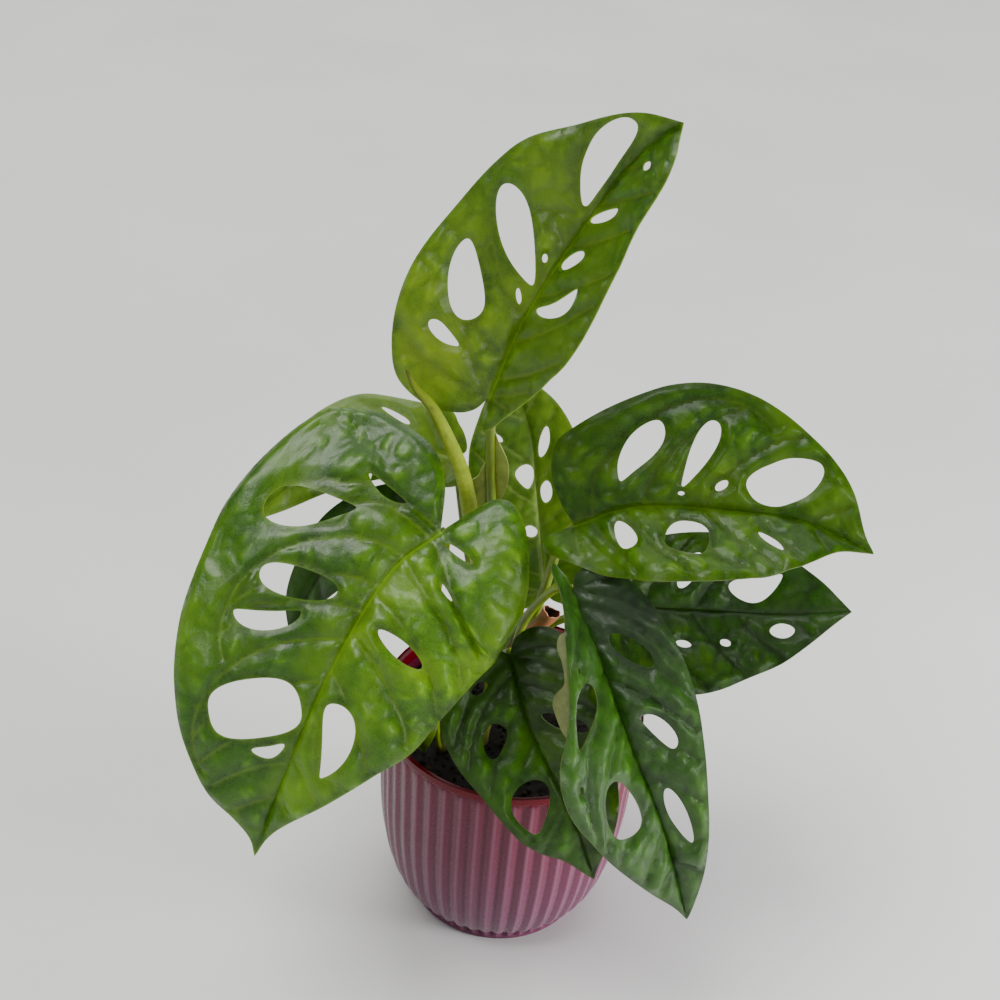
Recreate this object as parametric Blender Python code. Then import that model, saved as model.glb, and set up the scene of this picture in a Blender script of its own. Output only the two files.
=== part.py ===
"""Monstera adansonii in a ribbed pot, in metres with +Z up.

The origin is the middle of the pot's flat underside, and the plant's front looks along -Y.
The dimensions below are in millimetres and become metres where a mesh is made.
Each leaf is one solid: its blade with real holes, its petiole and the raised rib underneath.
"""
from math import cos, pi, radians, sin

import bpy
import numpy as np
from mathutils import Vector
from mathutils.geometry import delaunay_2d_cdt

MM = 0.001
SMOOTH_ANGLE = 40.0

# Pot
POT_HEIGHT = 130.0
RIM_RADIUS = 70.0
RIM_ROUND = 0.8
BELLY_RADIUS = 69.0
BELLY_HEIGHT = 87.0
FOOT_RADIUS = 50.5
FOOT_HEIGHT = 8.0
FOOT_CHAMFER = 0.7
LIP_HEIGHT = 6.0
RIB_COUNT = 48
RIB_DEPTH = 1.1
RIB_HEIGHTS = (9.0, 22.0, 40.0, 62.0, 87.0, 121.0)
WALL = 2.2
WALL_HEIGHTS = (87.0, 62.0, 40.0, 22.0, 12.0)
FLOOR_THICKNESS = 3.0
FLOOR_RADIUS = 40.9

# Soil
SOIL_TOP = 115.0
SOIL_BUMP = 1.6
SOIL_CROWN = 2.0
SOIL_STEP = 9.5
SEAT_GAP = 0.3
STEM_GAP = 0.6
HOLE_BOTTOM = 64.0
HOLE_SIDES = 12

# Leaves
BLADE_THICKNESS = 0.8
EDGE_STEP = 7.5
HOLE_STEP = 5.6
SQUARE_POWER = 0.4
POINT_REACH = 0.1
GRID_STEP = 10.5
ROW_SHARE = 0.87
CLEAR_SHARE = 0.55
CURL_LENGTH = 50.0
PETIOLE_STEP = 9.0
PETIOLE_SIDES = 6
RIB_PLACES = (0.03, 0.1, 0.2, 0.32, 0.45, 0.58, 0.7)
RIB_SHARES = (0.85, 0.72, 0.62, 0.54, 0.46, 0.38, 0.28)
SHEATH_CURL = 20.0
SHEATH_EDGE_STEP = 3.0
SHEATH_GRID_STEP = 4.0
STEM_SIDES = 10

# Stems: points up the middle, radius at the foot and at the top. A stub is what is left of a cut leaf:
# points up its middle, its radii and, from its mouth down, the radii of its hollow.
STEMS = {
    "stem_middle": dict(
        line=((-12, 8, 68), (-12, 8, 92), (-12, 8, 116), (-13, 8, 160), (-16, 6.5, 198)), radii=(4.2, 3.3)),
    "stem_left": dict(
        line=((-35, -23, 68), (-35, -23, 92), (-35, -23, 116), (-38, -21, 150), (-42, -16, 182)),
        radii=(3.6, 2.8)),
    "stem_right": dict(
        line=((-15, -18, 68), (-15, -18, 92), (-15, -18, 116), (-10, -15, 152), (-2, -11, 186)),
        radii=(3.8, 2.9),
        stub=dict(
            line=((-3, -12.5, 180), (0.5, -15, 188), (7, -16.5, 197), (12, -16.5, 204), (14, -16.5, 208)),
            radii=(2.2, 2.4, 3.2, 4.2, 4.5), bore=(3.7, 2.9))),
}

# Leaves: the midrib runs from the petiole to the tip, and face is the way the upper side looks at
# each end. fold raises the left and right half at the base and at the tip, in degrees, and curl
# bends each half down again over CURL_LENGTH. Edge points are (along, across) the midrib.
# A hole is (along, across, length, width, turn, egg, bend): turn is the angle of its long axis away
# from the midrib, egg makes its outer end blunter and bend bows it, in millimetres. Two more numbers
# may square the hole off and draw its inner end to a point. sheaths are thin skins fused to the leaf:
# those along the top leaf's petiole once wrapped newer leaves, and the one on leaf_front_right is its
# own margin turned over. Their edge points count along and across their own line.
LEAVES = {
    "leaf_top": dict(
        midrib=((-25, 2, 315), (-14, 12, 347), (2, 22, 378), (28, 30, 421), (47, 26, 442)),
        face=((-0.29, -0.76, 0.56), (-0.42, -0.80, 0.45)), fold=((20, 26), (20, 26)), curl=(4, 10),
        left=((-8, 4), (-13, 12), (-15, 26), (-8, 43), (10, 52), (36, 56), (64, 52), (88, 48), (104, 42),
              (120, 28), (136, 15), (146, 6)),
        right=((-9, 1), (-14, 4), (-12, 9), (-4, 14), (8, 22), (20, 29), (34, 35), (56, 36), (84, 32),
               (100, 28), (118, 26), (136, 23), (144, 16), (148, 7)),
        holes=((115, 10, 37, 16, 12, 0.1, -2.3, 0.5, 0.5), (69, 22, 44, 17, 48, 0, -0.7, 0.1, 0.5),
               (42, 31, 34, 15, 37, -0.3, -1.4), (19, 30, 17, 6, 72, 0.3, -0.5),
               (98, -7, 16, 5, 41, 0, -0.7), (74, -7, 14, 6, 28, 0, 0),
               (54, -14, 25, 8, 38, 0.1, -4.6)),
        stem="stem_middle", attach=(172, 190), side=80,
        petiole=((-18, 10, 230), (-21, 3, 266), (-23.4, 3, 298)), radii=(2.7, 2.3),
        sheaths=(
            dict(line=((-20.6, 8, 240), (-22, 4.4, 258), (-23.6, 2.4, 280)),
                 face=(-0.2, -0.9, 0.3), fold=(20, 0),
                 left=((2, 6), (8, 9), (16, 11.5), (23, 12.5), (28, 10), (32, 4.5), (36, 3), (39, 1.2)),
                 right=((2, 0.7), (38, 0.7))),
            dict(line=((-18, 4.8, 254), (-18.9, 2.6, 268), (-20.1, 2.2, 281), (-21.6, 2.6, 298)),
                 face=(0.2, -0.9, 0.3), fold=(0, 28), left=((2, 0.7), (40, 0.7)),
                 right=((2, 2), (7, 4), (13, 5.6), (19, 6.5), (24, 6.7), (29, 5.8), (34, 3.8), (38, 2),
                        (41, 1))))),
    "leaf_left": dict(
        midrib=((-42, -30, 260), (-63, -46, 247), (-83, -72, 217), (-99, -96, 179), (-116, -112, 123)),
        face=((-0.12, -0.60, 0.80), (-0.20, -0.88, 0.42)), fold=((8, 16), (8, 16)), curl=(34, 14),
        left=((-10, 1), (-20, 2), (-29, 4), (-34, 11), (-32, 22), (-24, 35), (-11, 50), (8, 62), (32, 65),
              (56, 61), (80, 56), (101, 50), (118, 38), (140, 23), (157, 10), (170, 3)),
        right=((-4, 4), (-16, 17), (-22, 32), (-20, 48), (-13, 65), (2, 79), (20, 84), (38, 83), (58, 80),
               (78, 76), (97, 71), (121, 61), (142, 47), (158, 31), (167, 15), (174, 5)),
        holes=((29, -49, 44, 12, 71, 0.8, 4.4), (10, -31, 24, 5, 72, 0, 1.5),
               (55, -32, 38, 13, 76, 0.1, 0.9), (74, -37, 32, 8, 65, 0, 3.7),
               (112, -24, 44, 27, 61, 0, -0.7, 0.45), (127, -11, 15, 6, 56, 0.1, 2.4),
               (111, 15, 36, 14, 12, -0.5, -4.5), (58, 24, 25, 8, 78, 0.1, 0), (16, 27, 13, 4, 80, 0, 0.4)),
        stem="stem_left", attach=(158, 174), side=225, petiole=((-44, -20, 206), (-40, -19, 242)),
        radii=(2.6, 2.3)),
    "leaf_right": dict(
        midrib=((20, -14, 259), (50, -12, 272), (103, -14, 275), (129, -18, 274), (158, -26, 266)),
        face=((0.05, -0.56, 0.82), (0.30, -0.56, 0.76)), fold=((26, 22), (26, 22)), curl=(8, 8),
        left=((-3, 12), (-3, 26), (2, 37), (14, 43), (27, 49), (44, 56), (60, 58), (77, 55), (92, 48),
              (110, 33), (124, 20), (135, 7)),
        right=((-7, 1), (-14, 2), (-17, 7), (-14, 13), (0, 25), (10, 34), (29, 42), (46, 44), (66, 42),
               (86, 38), (103, 33), (117, 23), (129, 9)),
        holes=((33, 27, 29, 16, 63, 0.1, 0, 0.2, 0.6), (58, 25, 32, 10, 68, 0.3, 0.4, 0.3, 0.3),
               (69, 11, 7, 4, 38, 0, 0), (96, 17, 31, 20, 34, -0.2, 2.9, 0.6, 0.1),
               (23, -15, 18, 10, 70, 0.4, -0.8), (54, -19, 21, 19, 6, 0.1, 1.5, 0.5),
               (94, -16, 16, 4, 32, 0, 0)),
        stem="stem_right", attach=(164, 180), side=10, petiole=((9, -8, 212), (14, -8, 240)),
        radii=(2.6, 2.2)),
    "leaf_right_low": dict(
        midrib=((49, 8, 196), (66, 10, 195), (105, 12, 195), (133, 10, 198), (165, 4, 208)),
        face=((0.05, -0.62, 0.78), (0.20, -0.66, 0.72)), fold=((16, 12), (16, 12)), curl=(10, 10),
        left=((-7, 4), (-9, 13), (-2, 24), (12, 34), (30, 39), (52, 40), (73, 36), (90, 28), (104, 17),
              (112, 8)),
        right=((-7, 4), (-10, 14), (-6, 27), (6, 39), (22, 45), (38, 45), (51, 42), (65, 36), (81, 28),
               (95, 18), (109, 7)),
        holes=((71, 14, 28, 12, 16, -0.4, 4.1), (84, -9, 12, 8, 0, 0, 0), (55, -17, 6, 4, 10, 0, 0),
               (33, -19, 8, 4, 7, 0, 0), (36, 20, 22, 8, 60, 0.1, 0)),
        stem="stem_right", attach=(140, 156), side=60, petiole=((8, -1, 180), (30, 4, 192)),
        radii=(2.2, 2.0)),
    "leaf_front_right": dict(
        midrib=((21, -42, 242), (38, -66, 217), (54, -86, 188), (73, -102, 153), (90, -112, 105)),
        face=((0.20, -0.72, 0.66), (0.30, -0.85, 0.42)), fold=((18, 56), (18, 8)), curl=(8, 8),
        left=((-6, 4), (-8, 13), (2, 24), (14, 30), (30, 34), (50, 36), (70, 35), (90, 31), (112, 24),
              (132, 18), (150, 12), (164, 5)),
        right=((-7, 3), (-14, 9), (-11, 15), (-3, 15), (6, 18), (18, 24.5), (31, 29.5), (45, 34.5), (58, 41),
               (66, 47.5), (74, 50.5), (86, 48.5), (102, 41), (116, 34), (131, 25), (147, 15), (162, 5)),
        holes=((35, 15, 24, 9, 38, 0, 0), (74, 15, 23, 8, 25, 0, -1.7), (115, 9, 28, 8, 7, -0.2, 0.6),
               (98, -19, 28, 20, -9, 0.1, -2.0), (53, -25, 29, 13, 45, -0.4, -1.6)),
        stem="stem_right", attach=(148, 164), side=310, petiole=((0, -24, 204), (12, -33, 234)),
        radii=(2.3, 2.1),
        sheaths=(
            dict(line=((17.9, -71.5, 241.2), (20.3, -83.7, 232.7), (22.5, -95.5, 222.5),
                       (22.5, -107.7, 211.9)),
                 face=(-0.1, -0.51, 0.81), fold=(0, -12), left=((1, 0.7), (46, 0.7)),
                 right=((1, 2.5), (4, 4), (8, 4.2), (13, 2.8), (20, 2.2), (24, 3), (28, 7), (33, 8),
                        (39, 5.8), (44, 3.2), (46.5, 1.2))),)),
    "leaf_front_middle": dict(
        midrib=((-5, -42, 200), (6, -60, 176), (19, -74, 157), (33, -84, 135), (46, -90, 102)),
        face=((-0.10, -0.72, 0.66), (-0.02, -0.92, 0.36)), fold=((14, 14), (14, 14)), curl=(8, 8),
        left=((-7, 5), (-10, 14), (-7, 24), (4, 32), (20, 36), (40, 36), (60, 33), (80, 26), (96, 17),
              (112, 6)),
        right=((-5, 8), (2, 17), (10, 28), (22, 40), (36, 40), (54, 35), (70, 31), (85, 27), (97, 20),
               (106, 11), (115, 5)),
        holes=((12, -18, 9, 5, 65, 0, 0), (36, -18, 16, 10, 44, -0.2, -0.9),
               (71, -15, 26, 18, 26, -0.3, -3.1),
               (40, 17, 24, 8, 50, 0.1, 0)),
        stem="stem_right", attach=(124, 140), side=250, petiole=((-14, -30, 168), (-9, -36, 190)),
        radii=(2.0, 1.8)),
    "leaf_back": dict(
        midrib=((12, 26, 186), (9, 30, 203), (2, 38, 242), (-4, 46, 272), (-18, 58, 301)),
        face=((0.0, -0.90, 0.42), (0.0, -0.82, 0.55)), fold=((12, 8), (12, 8)), curl=(8, 8),
        left=((-5, 4), (-7, 13), (2, 22), (20, 30), (44, 34), (70, 34), (92, 31), (108, 21), (119, 9)),
        right=((-5, 4), (-7, 13), (2, 22), (20, 29), (44, 31), (66, 28), (85, 22), (101, 16), (115, 7)),
        holes=((83, -6, 15, 5, 20, 0, 0), (66, 5, 13, 9, 12, 0.4, 0), (57, -5, 12, 6, 5, 0, 0),
               (91, 17, 8, 3, 32, 0, 0), (36, 5, 8, 6, 48, 0, 0)),
        stem="stem_middle", attach=(134, 152), side=20, petiole=((0, 18, 170),),
        radii=(2.0, 1.8)),
    "leaf_left_back": dict(
        midrib=((-41, 22, 268), (-72, 26, 270), (-105, 18, 259), (-137, 2, 235)),
        face=((-0.10, -0.62, 0.78), (-0.30, -0.65, 0.72)), fold=((10, 10), (10, 10)), curl=(10, 10),
        left=((-8, 5), (-9, 11), (-4, 16), (12, 19), (34, 19), (56, 18), (75, 15), (92, 10), (104, 5)),
        right=((-6, 4), (-4, 11), (1, 17), (8, 22), (24, 22), (40, 27), (54, 26), (75, 20), (96, 12)),
        holes=((29, -15, 15, 4, 44, 0, 0), (46, 14, 18, 6, 60, 0.1, 0)),
        stem="stem_middle", attach=(158, 176), side=160, petiole=((-30, 14, 216), (-36, 19, 248)),
        radii=(2.0, 1.8)),
    "leaf_left_low": dict(
        midrib=((-58, -4, 252), (-86, -8, 237), (-105, -16, 208), (-114, -24, 178)),
        face=((-0.30, -0.65, 0.70), (-0.50, -0.75, 0.35)), fold=((14, 14), (14, 14)), curl=(8, 8),
        left=((-5, 4), (-6, 12), (4, 19), (20, 22), (38, 20), (52, 17), (66, 12), (80, 7), (92, 3)),
        right=((-5, 4), (-6, 11), (6, 16), (22, 17), (42, 16), (64, 13), (80, 9), (91, 4)),
        holes=((40, 9, 16, 5, 50, 0, 0),),
        stem="stem_left", attach=(136, 152), side=110, petiole=((-44, -8, 190), (-50, -5, 228)),
        radii=(1.9, 1.6)),
    "leaf_small": dict(
        midrib=((-42, -37, 162), (-45, -40, 150), (-45, -38, 134), (-43, -34, 121)),
        face=((-0.20, -0.75, 0.60), (-0.10, -0.98, -0.10)), fold=((16, 16), (10, 10)), curl=(8, 8),
        left=((-3, 3), (0, 8), (10, 9), (22, 7), (34, 3)),
        right=((-3, 3), (0, 8), (10, 9), (22, 7), (34, 3)),
        holes=(),
        stem="stem_left", attach=(124, 138), side=255, petiole=((-38, -32, 154),), radii=(1.3, 1.1)),
}

# The newest leaf, still rolled into a spike: points up its middle and its radius at each
ROLLED_STEM = "stem_middle"
ROLLED_ATTACH = (176, 192)
ROLLED_SIDE = 235
ROLLED_LINE = ((-26, -4, 232), (-30, -6, 257), (-35, -6, 278), (-43, -6, 297), (-50, -9, 313),
               (-58, -11, 324), (-62, -12, 333))
ROLLED_RADII = (2.2, 2.4, 3.4, 3.9, 3.7, 3.2, 2.6, 1.6, 0.6)

COLOURS = {
    "pot": (0.24, 0.10, 0.13, 1.0),
    "soil": (0.02, 0.014, 0.01, 1.0),
    "stem": (0.16, 0.24, 0.03, 1.0),
    "leaf": (0.06, 0.17, 0.015, 1.0),
    "young": (0.30, 0.38, 0.06, 1.0),
}


def clear_scene():
    for found in list(bpy.data.objects):
        bpy.data.objects.remove(found)


def material(name, colour, roughness):
    made = bpy.data.materials.new(name)
    made.use_nodes = True
    shader = made.node_tree.nodes["Principled BSDF"]
    shader.inputs["Base Color"].default_value = colour
    shader.inputs["Roughness"].default_value = roughness
    return made


def shade(item):
    item.data.shade_smooth()
    item.data.set_sharp_from_angle(angle=radians(SMOOTH_ANGLE))


def add_object(name, points, faces, finish):
    """Make one object from points in millimetres."""
    mesh = bpy.data.meshes.new(name)
    mesh.from_pydata([tuple(c * MM for c in point) for point in points], [], faces)
    mesh.materials.append(finish)
    made = bpy.data.objects.new(name, mesh)
    bpy.context.collection.objects.link(made)
    shade(made)
    return made


def join(base, others):
    """Fuse the others into base by one union, and keep only base."""
    group = bpy.data.collections.new(base.name + "_group")
    for other in others:
        group.objects.link(other)
    union = base.modifiers.new("union", "BOOLEAN")
    union.operation = "UNION"
    union.solver = "EXACT"
    union.operand_type = "COLLECTION"
    union.collection = group
    depsgraph = bpy.context.evaluated_depsgraph_get()
    joined = bpy.data.meshes.new_from_object(base.evaluated_get(depsgraph))
    base.modifiers.clear()
    base.data = joined
    for other in others:
        bpy.data.objects.remove(other)
    bpy.data.collections.remove(group)
    shade(base)


def unit(rows):
    return rows / np.linalg.norm(rows, axis=-1, keepdims=True)


def smooth_line(points, steps):
    """Catmull-Rom curve through the points, with this many steps from each to the next."""
    p = np.array(points, float)
    p = np.vstack([2 * p[0] - p[1], p, 2 * p[-1] - p[-2]])
    t = np.linspace(0, 1, steps, endpoint=False)[:, None]
    spans = []
    for a, b, c, d in zip(p[:-3], p[1:-2], p[2:-1], p[3:]):
        square = (2 * a - 5 * b + 4 * c - d) * t**2
        cube = (3 * b - a - 3 * c + d) * t**3
        spans.append(0.5 * (2 * b + (c - a) * t + square + cube))
    spans.append(p[-2][None])
    return np.vstack(spans)


def lengths(line):
    return np.concatenate([[0], np.cumsum(np.linalg.norm(np.diff(line, axis=0), axis=1))])


def even_points(line, step):
    """The line again, with points about one step apart and both ends kept."""
    run = lengths(line)
    count = max(2, int(round(run[-1] / step)) + 1)
    at = np.linspace(0, run[-1], count)
    return np.stack([np.interp(at, run, line[:, k]) for k in range(line.shape[1])], -1)


class Blade:
    """A leaf's curved surface, found from millimetres along the midrib and across it."""

    def __init__(self, midrib, face, fold, curl):
        self.line = smooth_line(midrib, 24)
        self.run = lengths(self.line)
        self.length = self.run[-1]
        self.ahead = unit(np.gradient(self.line, self.run, axis=0))
        self.face = [unit(np.array(f, float)) for f in face]
        self.fold = np.radians(np.array(fold, float))
        self.curl = np.radians(np.array(curl, float)) / CURL_LENGTH

    def frame(self, along):
        """The midrib's point, its directions ahead, up and left, and the share of its length."""
        held = np.clip(along, 0, self.length)
        centre = np.stack([np.interp(held, self.run, self.line[:, k]) for k in range(3)], -1)
        ahead = unit(np.stack([np.interp(held, self.run, self.ahead[:, k]) for k in range(3)], -1))
        centre = centre + ahead * (along - held)[..., None]
        share = (held / self.length)[..., None]
        up = self.face[0] * (1 - share) + self.face[1] * share
        up = unit(up - (up * ahead).sum(-1, keepdims=True) * ahead)
        return centre, ahead, up, np.cross(up, ahead), share[..., 0]

    def point(self, along, across):
        """Across counts up to the left. Each half leaves the midrib at its fold and bends down again."""
        centre, _, up, left, share = self.frame(along)
        side = np.where(across >= 0, 0, 1)
        fold = self.fold[0][side] * (1 - share) + self.fold[1][side] * share
        curl = self.curl[side]
        width = np.abs(across)
        out = (np.sin(fold) - np.sin(fold - curl * width)) / curl
        rise = (np.cos(fold - curl * width) - np.cos(fold)) / curl
        return centre + left * (np.sign(across) * out)[..., None] + up * rise[..., None]

    def normal(self, along, across):
        ahead = self.point(along + 0.5, across) - self.point(along - 0.5, across)
        left = self.point(along, across + 0.5) - self.point(along, across - 0.5)
        return unit(np.cross(ahead, left))


def edge_loop(leaf, length, step):
    """The blade's outline, anticlockwise: back along the right half and out along the left."""
    left = smooth_line([(0, 0), *leaf["left"], (length, 0)], 8)
    right = smooth_line([(0, 0), *[(a, -b) for a, b in leaf["right"]], (length, 0)], 8)
    return np.vstack([even_points(right, step), even_points(left, step)[-2:0:-1]])


def hole_loop(step, along, across, length, width, turn, egg, bend, square=0.0, point=0.0):
    """One hole in the blade: an oval, blunter at one end, bowed, squared and pointed as asked."""
    count = max(8, int(round(pi * (length + width) / 2 / step)))
    t = np.linspace(0, 2 * pi, count, endpoint=False)
    power = 1 - SQUARE_POWER * square
    inner = ((1 - np.cos(t)) / 2) ** 2
    x = length / 2 * np.sign(np.cos(t)) * np.abs(np.cos(t)) ** power * (1 + POINT_REACH * point * inner)
    y = width / 2 * np.sign(np.sin(t)) * np.abs(np.sin(t)) ** power * (1 + egg * np.cos(t))
    y = y * (1 - point * inner) + bend * (np.cos(t) ** 2 - 0.5)
    side = 1 if across >= 0 else -1
    a = radians(turn)
    return np.stack([along + x * cos(a) - y * sin(a), across + side * (x * sin(a) + y * cos(a))], -1)


def inside(points, loop):
    """Which of the points lie inside the closed loop."""
    found = np.zeros(len(points), bool)
    for (x0, y0), (x1, y1) in zip(loop, np.roll(loop, -1, axis=0)):
        if y0 != y1:
            crosses = (y0 > points[:, 1]) != (y1 > points[:, 1])
            found ^= crosses & (points[:, 0] < (x1 - x0) * (points[:, 1] - y0) / (y1 - y0) + x0)
    return found


def filled(points, outline, holes):
    """Which of the points lie inside the outline and in none of the holes."""
    found = inside(points, outline)
    for hole in holes:
        found &= ~inside(points, hole)
    return found


def grid_points(outline, holes, taken, step):
    """A staggered grid inside the outline that stays clear of the points already taken."""
    low, high = outline.min(axis=0), outline.max(axis=0)
    rows = np.arange(low[1], high[1], step * ROW_SHARE)
    along = np.arange(low[0], high[0], step)
    grid = np.array([(x + step / 2 * (j % 2), y) for j, y in enumerate(rows) for x in along])
    grid = grid[filled(grid, outline, holes)]
    nearest = np.linalg.norm(grid[:, None] - taken[None], axis=2).min(axis=1)
    return grid[nearest > step * CLEAR_SHARE]


def flat_mesh(outline, holes, step):
    """Points and triangles that fill the outline, leave the holes and have edges along the midrib."""
    along = np.arange(step * 0.7, outline[:, 0].max() - step * 0.6, step)
    chains = [(outline, True), *[(hole, True) for hole in holes], (np.stack([along, along * 0], -1), False)]
    taken = np.vstack([chain for chain, _ in chains])
    edges = []
    first = 0
    for chain, closed in chains:
        last = len(chain) if closed else len(chain) - 1
        edges += [(first + k, first + (k + 1) % len(chain)) for k in range(last)]
        first += len(chain)
    points = np.vstack([taken, grid_points(outline, holes, taken, step)])
    flat, _, triangles, *_ = delaunay_2d_cdt([Vector(p) for p in points], edges, [], 0, 1e-4)
    flat = np.array([tuple(p) for p in flat])
    triangles = np.array(triangles)
    a, b, c = (flat[triangles[:, k]] for k in range(3))
    turn = (b[:, 0] - a[:, 0]) * (c[:, 1] - a[:, 1]) - (b[:, 1] - a[:, 1]) * (c[:, 0] - a[:, 0])
    triangles = np.where(turn[:, None] > 0, triangles, triangles[:, ::-1])
    triangles = triangles[filled((a + b + c) / 3, outline, holes) & (np.abs(turn) > 1e-6)]
    used = np.unique(triangles)
    return flat[used], np.searchsorted(used, triangles)


def two_sided(blade, flat, triangles):
    """Points and faces of the closed sheet whose two faces share one set of triangles."""
    middle = blade.point(flat[:, 0], flat[:, 1])
    out = blade.normal(flat[:, 0], flat[:, 1]) * BLADE_THICKNESS / 2
    count = len(flat)
    upper = [tuple(t) for t in triangles.tolist()]
    lower = [tuple(count + k for k in reversed(t)) for t in upper]
    sides = {(t[k], t[(k + 1) % 3]) for t in upper for k in range(3)}
    border = [(i, j) for i, j in sorted(sides) if (j, i) not in sides]
    rim = [face for i, j in border for face in ((i, count + i, count + j), (i, count + j, j))]
    return np.vstack([middle + out, middle - out]), upper + lower + rim


def tube(line, radii, sides, bore=()):
    """Points and faces of a closed round tube. The bore's radii hollow it from its far end back."""
    line = np.array(line, float)
    ahead = unit(np.gradient(line, axis=0))
    last = len(line) - 1
    rings = [*enumerate(radii), *[(last - k, radius) for k, radius in enumerate(bore)]]
    across = unit(np.cross(ahead[0], (0.31, 0.9, 0.2)))
    frames = []
    for forward in ahead:
        across = unit(across - (across @ forward) * forward)
        frames.append((across, np.cross(forward, across)))
    points = [line[0] - ahead[0] * radii[0] * 0.5]
    for k, radius in rings:
        turns = [2 * pi * n / sides for n in range(sides)]
        points += [line[k] + radius * (cos(t) * frames[k][0] + sin(t) * frames[k][1]) for t in turns]
    end, radius = rings[-1]
    points.append(line[end] + ahead[end] * radius * 0.5)
    faces = [(0, 1 + (n + 1) % sides, 1 + n) for n in range(sides)]
    for ring in range(len(rings) - 1):
        faces += bridge((1 + ring * sides, sides), (1 + (ring + 1) * sides, sides))
    top = len(points) - 1
    faces += [(top, top - sides + n, top - sides + (n + 1) % sides) for n in range(sides)]
    return points, faces


def bridge(lower, upper):
    """Triangles between two rings given as (first index, point count), seen from outside."""
    (a, low_count), (b, high_count) = lower, upper
    faces = []
    i = j = 0
    while i < low_count or j < high_count:
        if (i + 1) * high_count <= (j + 1) * low_count:
            faces.append((a + i % low_count, a + (i + 1) % low_count, b + j % high_count))
            i += 1
        else:
            faces.append((a + i % low_count, b + (j + 1) % high_count, b + j % high_count))
            j += 1
    return faces


def stem_at(name, height):
    """A stem's middle, direction and radius at this height."""
    stem = STEMS[name]
    line = smooth_line(stem["line"], 12)
    centre = np.array([np.interp(height, line[:, 2], line[:, k]) for k in range(3)])
    above = np.array([np.interp(height + 2, line[:, 2], line[:, k]) for k in range(3)])
    share = (height - line[0, 2]) / (line[-1, 2] - line[0, 2])
    return centre, unit(above - centre), stem["radii"][0] * (1 - share) + stem["radii"][1] * share


def beside_stem(name, heights, side, radius):
    """Where a petiole of this radius lies against the stem, side counted in degrees from +X."""
    points = []
    for height in heights:
        centre, ahead, stem_radius = stem_at(name, height)
        out = np.array([cos(radians(side)), sin(radians(side)), 0.0])
        out = unit(out - (out @ ahead) * ahead)
        points.append(centre + out * (stem_radius + radius + STEM_GAP))
    return points


def petiole_line(leaf, blade):
    """The petiole from the stem to the blade, then the rib under the blade, with its radii."""
    low, high = leaf["radii"]
    route = [*beside_stem(leaf["stem"], leaf["attach"], leaf["side"], low), *leaf["petiole"]]
    base, ahead, up, _, _ = blade.frame(np.array(0.0))
    route.append(base - ahead * 2 - up * high * 1.4)
    petiole = even_points(smooth_line(route, 10), PETIOLE_STEP)
    radii = np.linspace(low, high, len(petiole))
    radii[-1] = high * 1.1
    rib_radii = high * np.array(RIB_SHARES)
    centre, _, up, _, _ = blade.frame(np.array(RIB_PLACES) * blade.length)
    rib = centre - up * (rib_radii * 0.9)[:, None]
    return np.vstack([petiole, rib]), [*radii, *rib_radii]


def leaf_blade(leaf):
    return Blade(leaf["midrib"], leaf["face"], leaf["fold"], leaf["curl"])


def make_sheet(name, blade, leaf, holes, edge_step, grid_step, finish):
    flat, triangles = flat_mesh(edge_loop(leaf, blade.length, edge_step), holes, grid_step)
    return add_object(name, *two_sided(blade, flat, triangles), finish)


def make_sheath(name, sheath, finish):
    """A thin skin with a line of its own, standing off a petiole or folded over a margin."""
    blade = Blade(sheath["line"], [sheath["face"]] * 2, [sheath["fold"]] * 2, (SHEATH_CURL, SHEATH_CURL))
    return make_sheet(name, blade, sheath, [], SHEATH_EDGE_STEP, SHEATH_GRID_STEP, finish)


def make_leaf(name, leaf, finish):
    blade = leaf_blade(leaf)
    holes = [hole_loop(HOLE_STEP, *hole) for hole in leaf["holes"]]
    sheet = make_sheet(name, blade, leaf, holes, EDGE_STEP, GRID_STEP, finish)
    line, radii = petiole_line(leaf, blade)
    stalk = add_object(name + "_petiole", *tube(line, radii, PETIOLE_SIDES), finish)
    sheaths = [make_sheath(name + "_sheath", sheath, finish) for sheath in leaf.get("sheaths", ())]
    join(sheet, [stalk, *sheaths])


def make_rolled_leaf(finish):
    route = [*beside_stem(ROLLED_STEM, ROLLED_ATTACH, ROLLED_SIDE, ROLLED_RADII[0]), *ROLLED_LINE]
    line = smooth_line(route, 3)
    radii = np.interp(np.arange(len(line)) / 3, np.arange(len(route)), ROLLED_RADII)
    add_object("rolled_leaf", *tube(line, radii, STEM_SIDES), finish)


def make_stem(name, stem, finish):
    line = even_points(smooth_line(stem["line"], 12), PETIOLE_STEP)
    radii = np.linspace(*stem["radii"], len(line))
    made = add_object(name, *tube(line, radii, STEM_SIDES), finish)
    if "stub" in stem:
        stub = stem["stub"]
        points, faces = tube(stub["line"], stub["radii"], STEM_SIDES, stub["bore"])
        join(made, [add_object(name + "_stub", points, faces, finish)])


def body_radius(height):
    """The pot's outside between the ribs: straight above, drawn in to the foot below."""
    if height >= BELLY_HEIGHT:
        share = (height - BELLY_HEIGHT) / (POT_HEIGHT - BELLY_HEIGHT)
        return BELLY_RADIUS + (RIM_RADIUS - BELLY_RADIUS) * share - RIB_DEPTH
    share = (BELLY_HEIGHT - height) / (BELLY_HEIGHT - FOOT_HEIGHT)
    return FOOT_RADIUS + (BELLY_RADIUS - FOOT_RADIUS) * (1 - share**2) ** 0.5 - RIB_DEPTH


def inner_radius(height):
    return body_radius(height) - WALL


def ring(radius, height, count):
    turn = 2 * pi / count
    return [(radius * cos(k * turn), radius * sin(k * turn), height) for k in range(count)]


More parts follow.
